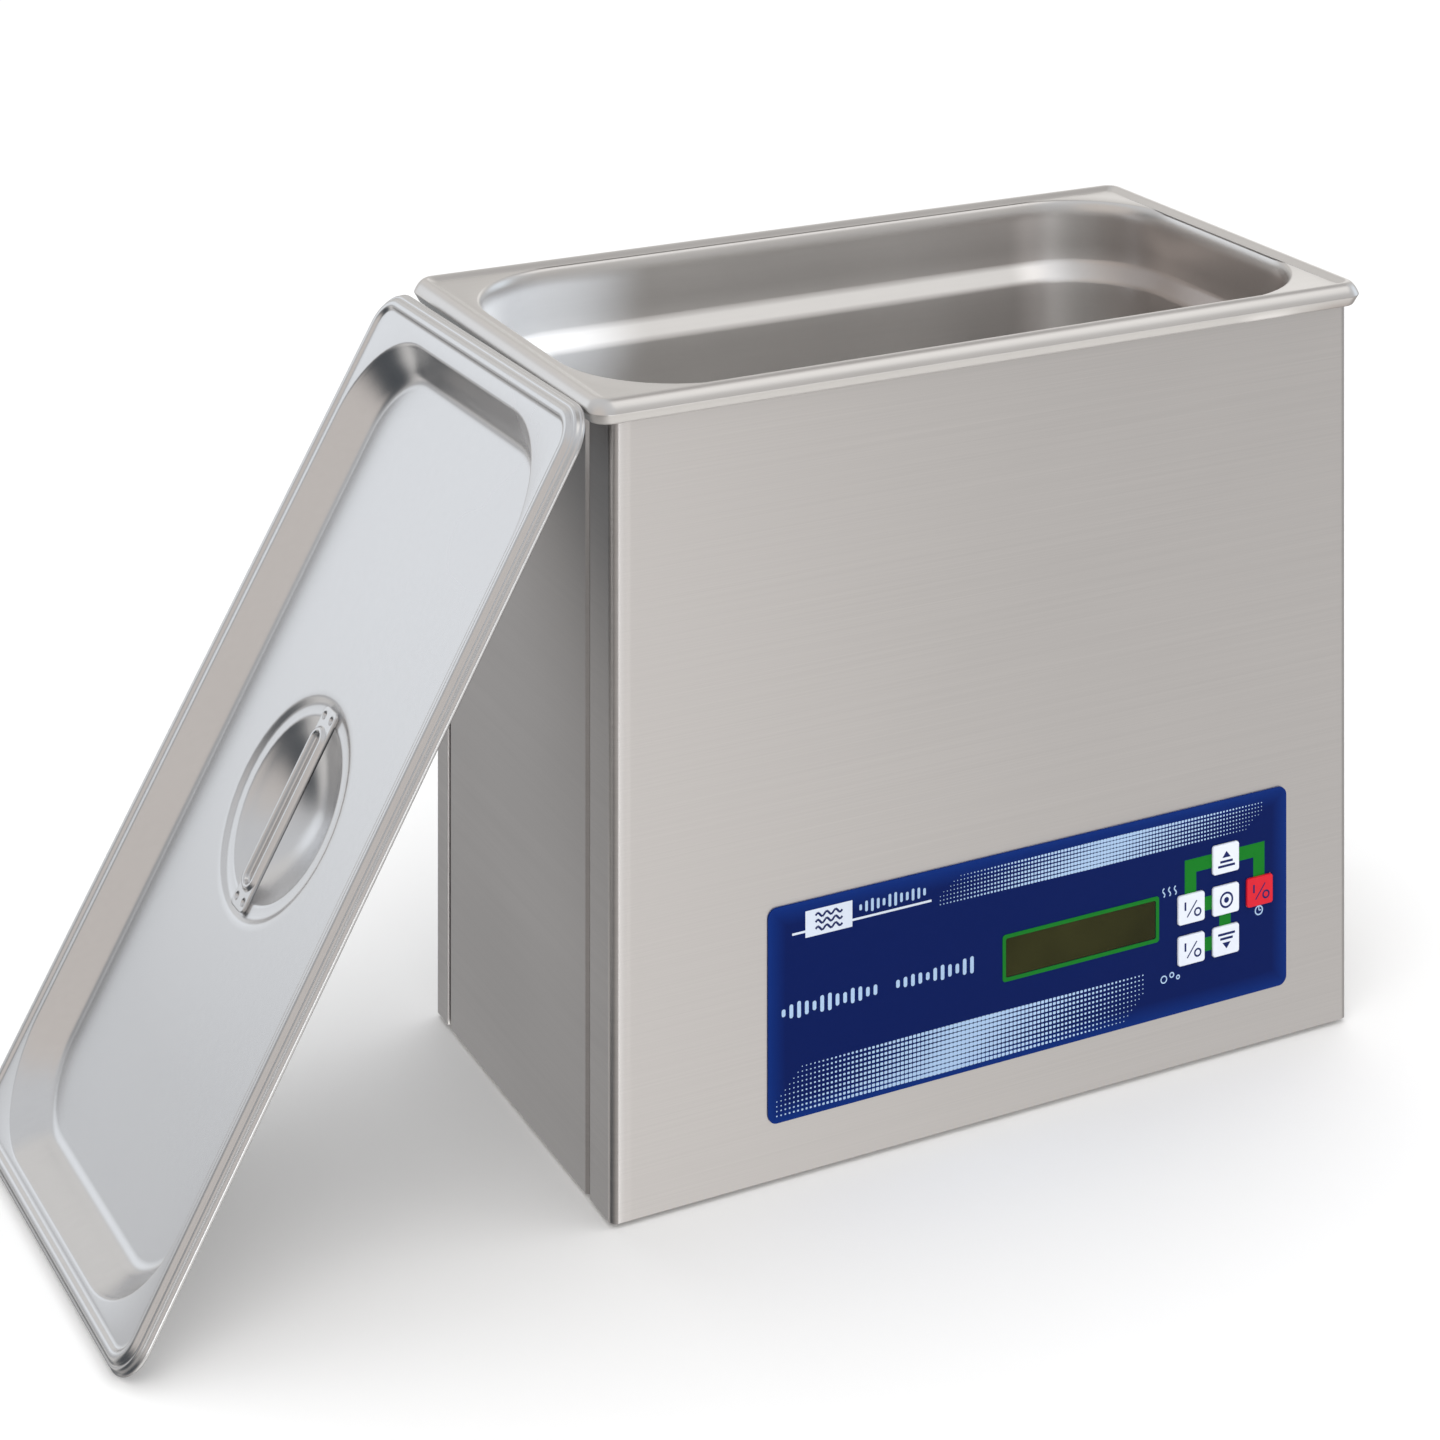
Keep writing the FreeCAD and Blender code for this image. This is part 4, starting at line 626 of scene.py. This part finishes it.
def build_handle():
    """Strap handle: a pressed channel with flat drilled ends, as a height field with sides."""
    length, width, corner = 72.0, 11.0, 2.4
    low = -13.3
    nx, ny = 200, 50
    verts, faces = [], []
    for level in (0, 1):
        for j in range(ny + 1):
            for i in range(nx + 1):
                x = (i / nx - 0.5) * length
                y = (j / ny - 0.5) * width
                over_x = abs(x) - (length / 2 - corner)
                over_y = abs(y) - (width / 2 - corner)
                if over_x > 0 and over_y > 0:
                    shrink = max(over_x, over_y) / math.hypot(over_x, over_y)
                    x = math.copysign(length / 2 - corner + over_x * shrink, x)
                    y = math.copysign(width / 2 - corner + over_y * shrink, y)
                z = low + 0.02 if level == 0 else strap_height(x, y, length, width, low)
                verts.append(Vector((x + DISH_X, y, z)))
    row = nx + 1
    layer = row * (ny + 1)
    for j in range(ny):
        for i in range(nx):
            a = j * row + i
            faces.append((a, a + row, a + row + 1, a + 1))
            b = a + layer
            faces.append((b, b + 1, b + row + 1, b + row))
    for i in range(nx):
        for a in (i, ny * row + i):
            faces.append((a, a + 1, a + 1 + layer, a + layer))
    for j in range(ny):
        for a in (j * row, j * row + nx):
            faces.append((a, a + row, a + row + layer, a + layer))
    verts = [LID @ v for v in verts]
    piece = add_piece("lid_strap", verts, outward(verts, faces), "lid_steel", "lid")
    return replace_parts(piece, "lid_handle")


# ---------------------------------------------------------------- printed panel
PRINT_T = 0.03


def print_piece(name, outlines, slot, body="casing", face=None, thickness=PRINT_T):
    """Thin raised ink: each outline is a list of (x, z) in millimetres, counter-clockwise."""
    front = (PANEL_FACE if face is None else face) / MM
    verts, faces = [], []
    for outline in outlines:
        count = len(outline)
        start = len(verts)
        for y in (front - thickness, front + 0.01):
            verts += [Vector((x * MM, y * MM, z * MM)) for x, z in outline]
        faces.append(tuple(range(start, start + count)))
        faces.append(tuple(reversed(range(start + count, start + 2 * count))))
        for k in range(count):
            n = (k + 1) % count
            faces.append((start + k, start + count + k, start + count + n, start + n))
    return add_piece(name, verts, outward(verts, faces), slot, body, smooth=False)


def bar(x0, x1, z0, z1, r=0.0, steps=4):
    """Rectangle with rounded corners."""
    if r <= 0:
        return [(x0, z0), (x1, z0), (x1, z1), (x0, z1)]
    points = []
    centres = ((x1 - r, z1 - r, 0), (x0 + r, z1 - r, 90), (x0 + r, z0 + r, 180), (x1 - r, z0 + r, 270))
    for cx, cz, start in centres:
        points += arc(cx, cz, r, start, start + 90, steps)
    return points


def disc(x, z, r):
    """Closed outline of a round dot, in 20 steps of 18 degrees."""
    return arc(x, z, r, 0, 342, 19)


def ring_parts(x, z, outer, inner):
    """Quads of a ring."""
    steps = 28
    a, b = arc(x, z, outer, 0, 360, steps), arc(x, z, inner, 0, 360, steps)
    return [[a[i], a[i + 1], b[i + 1], b[i]] for i in range(steps)]


def stroke(points, width):
    """Quads that follow a line of points."""
    parts = []
    for (x0, z0), (x1, z1) in zip(points, points[1:]):
        length = math.hypot(x1 - x0, z1 - z0)
        nx, nz = -(z1 - z0) / length * width / 2, (x1 - x0) / length * width / 2
        parts.append([(x0 - nx, z0 - nz), (x1 - nx, z1 - nz), (x1 + nx, z1 + nz), (x0 + nx, z0 + nz)])
    return parts


def halftone(x0, x1, z0, z1, peak, slant, pitch):
    """Band of ink cells that swell towards a peak and fade to both ends."""
    cells = []
    rows = int((z1 - z0) / pitch)
    columns = int((x1 - x0) / pitch)
    for j in range(rows):
        for i in range(columns):
            x = x0 + (i + 0.5) * pitch
            z = z0 + (j + 0.5) * pitch
            lean = slant * (j / max(rows - 1, 1) - 0.5)
            reach = (x1 - peak) if x > peak + lean else (peak - x0)
            share = 1.0 - min(1.0, abs(x - peak - lean) / reach)
            size = pitch * (0.16 + 0.86 * share ** 0.8)
            if share < 0.03:
                continue
            half_x = min(size, pitch * 0.96) / 2
            half_z = min(size * 0.86, pitch * 0.86) / 2
            cells.append(bar(x - half_x, x + half_x, z - half_z, z + half_z, half_z * 0.5, 2))
    return cells


KEY_CENTRES = {}
for key_name in ("key_up", "key_set", "key_down", "key_heat", "key_degas", "key_time"):
    low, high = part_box(key_name)
    KEY_CENTRES[key_name] = ((low.x + high.x) / 2 / MM, (low.z + high.z) / 2 / MM, low.y)


def key_marks():
    """Symbols on the keys: arrows with bars, a ringed dot and bar-slash-ring for on and off."""
    for name, direction in (("key_up", 1), ("key_down", -1)):
        x, z, face = KEY_CENTRES[name]
        arrow = [(x - 1.9, z + 0.6 * direction), (x + 1.9, z + 0.6 * direction), (x, z + 3.0 * direction)]
        if direction < 0:
            arrow.reverse()
        rows = [arrow]
        for i, half in enumerate((2.9, 3.9)):
            level = z - direction * (0.9 + i * 1.7)
            rows.append(bar(x - half, x + half, level - 0.45, level + 0.45, 0.2))
        print_piece(name + "_mark", rows, "print_navy", name, face)
    x, z, face = KEY_CENTRES["key_set"]
    rows = ring_parts(x, z, 3.1, 2.3) + [disc(x, z, 1.1)]
    print_piece("key_set_mark", rows, "print_navy", "key_set", face)
    for name in ("key_heat", "key_degas", "key_time"):
        x, z, face = KEY_CENTRES[name]
        rows = [bar(x - 3.4, x - 2.6, z - 0.2, z + 3.0, 0.2)]
        rows += stroke([(x - 2.2, z - 2.8), (x + 2.2, z + 2.8)], 0.5)
        rows += ring_parts(x + 2.6, z - 1.6, 1.7, 1.0)
        print_piece(name + "_mark", rows, "print_navy", name, face)


def wave_bars(x0, x1, z, height, pitch, width, gap_at=None):
    """Row of upright bars whose heights follow a wave, in place of a title."""
    bars = []
    count = int((x1 - x0) / pitch)
    for i in range(count):
        x = x0 + (i + 0.5) * pitch
        if gap_at and abs(x - gap_at) < pitch * 1.2:
            continue
        tall = height * (0.42 + 0.58 * abs(math.sin(i * 0.83)) * (0.7 + 0.3 * math.sin(i * 0.31)))
        bars.append(bar(x - width / 2, x + width / 2, z - tall / 2, z + tall / 2, width * 0.45, 3))
    return bars


def build_prints():
    """Inks of the membrane panel: tracks between the keys, halftone bands, emblem and symbols."""
    up, set_, down = KEY_CENTRES["key_up"], KEY_CENTRES["key_set"], KEY_CENTRES["key_down"]
    heat, degas, time_ = KEY_CENTRES["key_heat"], KEY_CENTRES["key_degas"], KEY_CENTRES["key_time"]
    half = 2.6
    tracks = []
    for side in (heat, time_):
        x0, x1 = sorted((side[0], up[0]))
        reach = half if side[0] > up[0] else -half
        ends = sorted((side[0] + reach, up[0]))
        tracks.append(bar(ends[0], ends[1], up[1] - half, up[1] + half))
        tracks.append(bar(side[0] - half, side[0] + half, side[1], up[1] - half))
    tracks.append(bar(heat[0], set_[0], set_[1] - half, set_[1] + half))
    tracks.append(bar(set_[0] - half, set_[0] + half, down[1], set_[1]))
    tracks.append(bar(degas[0], down[0], down[1] - half, down[1] + half))
    print_piece("panel_tracks", tracks, "print_green")

    print_piece("panel_halftone_top", halftone(-27.0, 117.0, 84.2, 94.4, 45.0, 12.0, 1.45), "print_pale")
    print_piece("panel_halftone_low", halftone(-94.0, 64.0, 23.6, 40.6, -18.0, 16.0, 1.7), "print_pale")

    left, right, line = -81.7, -62.7, 87.2
    emblem = [bar(left, right, 84.9, 94.3)]
    emblem += stroke([(-87.0, line), (left, line)], 0.8) + stroke([(right, line), (-30.0, line)], 0.8)
    print_piece("panel_emblem_plate", emblem, "print_white")
    ripples = []
    for level in (87.2, 89.6, 92.0):
        crests = [(-77.6 + 0.45 * k, level + 0.75 * math.sin(k * 0.785)) for k in range(25)]
        ripples += stroke(crests, 0.8)
    print_piece("panel_emblem_waves", ripples, "print_navy", thickness=2 * PRINT_T)
    print_piece("panel_emblem_bars", wave_bars(-60.5, -31.0, 91.0, 5.0, 2.4, 1.1), "print_pale")
    print_piece("panel_title_bars", wave_bars(-92.0, -9.0, 60.2, 6.4, 3.1, 1.5, -48.5), "print_pale")

    warm = []
    for i in range(3):
        x = 71.0 + 2.6 * i
        warm += stroke([(x + 0.5 * math.sin(k * 1.1), 66.9 + k * 0.55) for k in range(7)], 0.5)
    print_piece("panel_heat_symbol", warm, "print_pale")
    clock = ring_parts(time_[0], 52.8, 1.9, 1.4)
    clock += stroke([(time_[0], 54.2), (time_[0], 52.8), (time_[0] + 1.0, 52.8)], 0.4)
    print_piece("panel_time_symbol", clock, "print_pale")
    bubbles = []
    for x, z, r in ((71.0, 36.0, 1.5), (74.6, 37.0, 1.1), (77.4, 35.6, 0.9)):
        bubbles += ring_parts(x, z, r, r - 0.45)
    print_piece("panel_degas_symbol", bubbles, "print_pale")


# ---------------------------------------------------------------- valve lever sleeve
def build_lever_sleeve():
    """Dipped vinyl grip over the outer half of the drain lever."""
    low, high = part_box("valve_lever")
    eye = Vector(JOINTS["drain_valve_turn"]["pos_m"])
    half, z0, z1 = 7.0, low.z / MM - 0.8, low.z / MM + 3.3
    end = low.y / MM - 0.9
    start = eye.y / MM - 20.0
    mid_z = (z0 + z1) / 2
    rows = 26
    loops = []
    for i in range(rows + 1):
        y = start + (end - start) * i / rows
        to_tip = y - end
        width = half if to_tip > half else math.sqrt(max(0.0, half ** 2 - (half - to_tip) ** 2))
        thick = 1.0
        if i == 0:
            width, thick = half * 0.9, 0.85
        width = max(width, 0.6)
        ring = []
        for k in range(24):
            a = 2 * math.pi * k / 24
            sx, sz = math.cos(a), math.sin(a)
            x = eye.x / MM + width * math.copysign(abs(sx) ** 0.6, sx)
            z = mid_z + (z1 - z0) / 2 * thick * math.copysign(abs(sz) ** 0.6, sz)
            ring.append(Vector((x, y, z)))
        loops.append(ring)
    verts, faces = loft(loops)
    verts = [v * MM for v in verts]
    add_piece("valve_lever_sleeve", verts, outward(verts, faces), "lever_vinyl", "valve_handle")


# ---------------------------------------------------------------- stage, lights and camera
FLOOR_REACH = 7.0
FADE_START = 0.6
FADE_LENGTH = 0.9


def build_floor():
    """Pale floor that fades into the white backdrop well away from the cleaner."""
    mesh = bpy.data.meshes.new("floor")
    corners = [(x * FLOOR_REACH, y * FLOOR_REACH, 0) for x, y in ((-1, -1), (1, -1), (1, 1), (-1, 1))]
    mesh.from_pydata(corners, [], [(0, 1, 2, 3)])
    paint = Paint("floor", (0.9, 0.9, 0.9), 0.9)
    reach = paint.tree.nodes.new("ShaderNodeVectorMath")
    reach.operation = "LENGTH"
    paint.join(paint.coords, reach.inputs[0])
    away = paint.math("SUBTRACT", reach.outputs["Value"], FADE_START)
    paint.color(paint.ramp(away, 0.9, 0.0, 0.0, FADE_LENGTH))
    paint.set("Emission Color", (1.0, 1.0, 1.0, 1.0))
    paint.join(paint.ramp(away, 0.0, 1.0, 0.0, FADE_LENGTH), paint.shader.inputs["Emission Strength"])
    mesh.materials.append(paint.mat)
    floor = bpy.data.objects.new("floor", mesh)
    floor.visible_glossy = False
    bpy.context.scene.collection.objects.link(floor)


def place_lamp(name, kind, location, target, power, color):
    """A lamp aimed at a point. Steel doesn't mirror it. Gives back its data."""
    data = bpy.data.lights.new(name, kind)
    data.energy = power
    data.color = color
    lamp = bpy.data.objects.new(name, data)
    lamp.location = location
    lamp.rotation_euler = (Vector(target) - Vector(location)).to_track_quat("-Z", "Y").to_euler()
    lamp.visible_glossy = False
    bpy.context.scene.collection.objects.link(lamp)
    return data


# Soft patches that polished steel mirrors: (azimuth from the front towards the right, height,
# inner and outer half angles, all in degrees, then colour and brightness).
PATCHES = (
    (33, -25, 14, 42, (1.0, 0.985, 0.975), 0.53),
    (15, -52, 8, 32, (1.0, 0.98, 0.96), 0.82),
    (66, -64, 14, 38, (1.0, 0.98, 0.95), 0.95),
    (18, -19, 6, 15, (1.0, 0.985, 0.968), 1.62),
    (42, -24, 2, 10, (1.0, 0.99, 0.985), 1.22),
    (-6, -22, 3, 15, (1.0, 1.0, 1.0), 2.8),
    (-95, -22, 18, 50, (0.82, 0.9, 1.0), 0.10),
    (-150, -21, 8, 34, (1.0, 0.975, 0.95), 0.86),
    (-146, -6, 3, 13, (0.96, 0.97, 1.0), 0.55),
    (-149, 15, 8, 19, (0.93, 0.96, 1.0), 1.16),
    (-172, -34, 8, 30, (0.92, 0.96, 1.0), 0.2),
    (150, 21, 14, 48, (1.0, 0.975, 0.945), 0.70),
    (140, 14, 4, 16, (1.0, 0.985, 0.965), 1.15),
    (-62, 18, 14, 42, (1.0, 0.93, 0.88), 0.74),
    (52, 54, 12, 26, (1.0, 0.985, 0.965), 1.2),
    (31, 24, 6, 18, (1.0, 0.96, 0.93), 0.62),
    (105, 64, 6, 24, (1.0, 0.95, 0.92), 0.45),
    (-175, 35, 6, 22, (1.0, 0.975, 0.95), 0.84),
    (178, -14, 3, 14, (0.93, 0.96, 1.0), 0.95),
    (92, 10, 6, 24, (0.84, 0.92, 1.0), 1.25),
)


def build_world():
    """White backdrop for the camera, and a softly patched room for what the steel mirrors."""
    world = bpy.data.worlds.new("studio")
    bpy.context.scene.world = world
    world.use_nodes = True
    tree = world.node_tree
    back = tree.nodes["Background"]

    def node(kind, **settings):
        made = tree.nodes.new("ShaderNode" + kind)
        for key, value in settings.items():
            setattr(made, key, value)
        return made

    coords = node("TexCoord").outputs["Generated"]
    split = node("SeparateXYZ")
    tree.links.new(coords, split.inputs[0])
    tilt = node("MapRange")
    tilt.inputs["From Min"].default_value = -1.0
    tree.links.new(split.outputs["Z"], tilt.inputs["Value"])
    ramp = node("ValToRGB")
    tree.links.new(tilt.outputs[0], ramp.inputs["Fac"])
    for stop, value, at in ((0, (0.42, 0.405, 0.39), 0.25), (1, (0.72, 0.73, 0.75), 0.85)):
        ramp.color_ramp.elements[stop].position = at
        ramp.color_ramp.elements[stop].color = (*value, 1)
    color = ramp.outputs["Color"]
    for azimuth, height, inner, outer, tone, power in PATCHES:
        a, h = math.radians(azimuth), math.radians(height)
        aim = node("VectorMath", operation="DOT_PRODUCT")
        tree.links.new(coords, aim.inputs[0])
        aim.inputs[1].default_value = (math.sin(a) * math.cos(h), -math.cos(a) * math.cos(h), math.sin(h))
        mask = node("MapRange", interpolation_type="SMOOTHSTEP")
        mask.inputs["From Min"].default_value = math.cos(math.radians(outer))
        mask.inputs["From Max"].default_value = math.cos(math.radians(inner))
        tree.links.new(aim.outputs["Value"], mask.inputs["Value"])
        mix = node("Mix", data_type="RGBA")
        tree.links.new(mask.outputs[0], mix.inputs["Factor"])
        tree.links.new(color, mix.inputs["A"])
        mix.inputs["B"].default_value = (*(c * power for c in tone), 1)
        color = mix.outputs["Result"]
    path = node("LightPath")
    choose = node("Mix", data_type="RGBA")
    choose.inputs["A"].default_value = (1, 1, 1, 1)
    tree.links.new(path.outputs["Is Glossy Ray"], choose.inputs["Factor"])
    tree.links.new(color, choose.inputs["B"])
    tree.links.new(choose.outputs["Result"], back.inputs["Color"])
    back.inputs["Strength"].default_value = 1.0


CAMERA_PLACE = Vector((-0.6214, -1.0905, 0.6399))
CAMERA_TURN = math.radians(26.65)
LENS = 80.6
RISE = -0.9358


def build_camera():
    """Level view camera whose lens is shifted down, so that upright edges stay upright.

    The shift is driven: it applies only while the camera stands at its own place."""
    data = bpy.data.cameras.new("camera")
    data.lens = LENS
    data.sensor_width = 36.0
    camera = bpy.data.objects.new("camera", data)
    camera.location = CAMERA_PLACE
    camera.rotation_euler = (math.radians(90), 0, -CAMERA_TURN)
    bpy.context.scene.collection.objects.link(camera)
    bpy.context.scene.camera = camera
    driver = data.driver_add("shift_y").driver
    driver.type = "SCRIPTED"
    for name, channel in (("px", "LOC_X"), ("pz", "LOC_Z")):
        variable = driver.variables.new()
        variable.name = name
        variable.type = "TRANSFORMS"
        variable.targets[0].id = camera
        variable.targets[0].transform_type = channel
        variable.targets[0].transform_space = "WORLD_SPACE"
    near = f"(abs(px - {CAMERA_PLACE.x:.4f}) < 0.0005 and abs(pz - {CAMERA_PLACE.z:.4f}) < 0.0005)"
    driver.expression = f"{RISE} if {near} else 0"


def build_stage():
    """Floor, three soft lamps over the whole object and a narrow one into the tank."""
    build_floor()
    middle = (0, 0, 0.12)
    for name, place, size, power, tone in (
        ("key", (-1.1, -1.3, 1.9), (1.6, 1.6), 14, (1.0, 0.985, 0.965)),
        ("fill", (1.9, -1.2, 1.2), (1.4, 1.8), 8, (1.0, 0.98, 0.96)),
        ("top", (0.1, 0.5, 2.2), (2.2, 1.6), 10, (0.94, 0.97, 1.0)),
    ):
        data = place_lamp(name, "AREA", place, middle, power, tone)
        data.shape = "RECTANGLE"
        data.size, data.size_y = size
    tank_end = (-0.145, 0.062, 0.262)
    data = place_lamp("tank_spot", "SPOT", (0.15, -0.3, 0.62), tank_end, 55, (0.82, 0.9, 1.0))
    data.spot_size = math.radians(15)
    data.spot_blend = 0.9


bpy.context.scene.view_settings.view_transform = "Standard"
paint_cad()
build_tank()
build_lid()
build_handle()
key_marks()
build_prints()
build_lever_sleeve()
build_world()
build_stage()
build_camera()
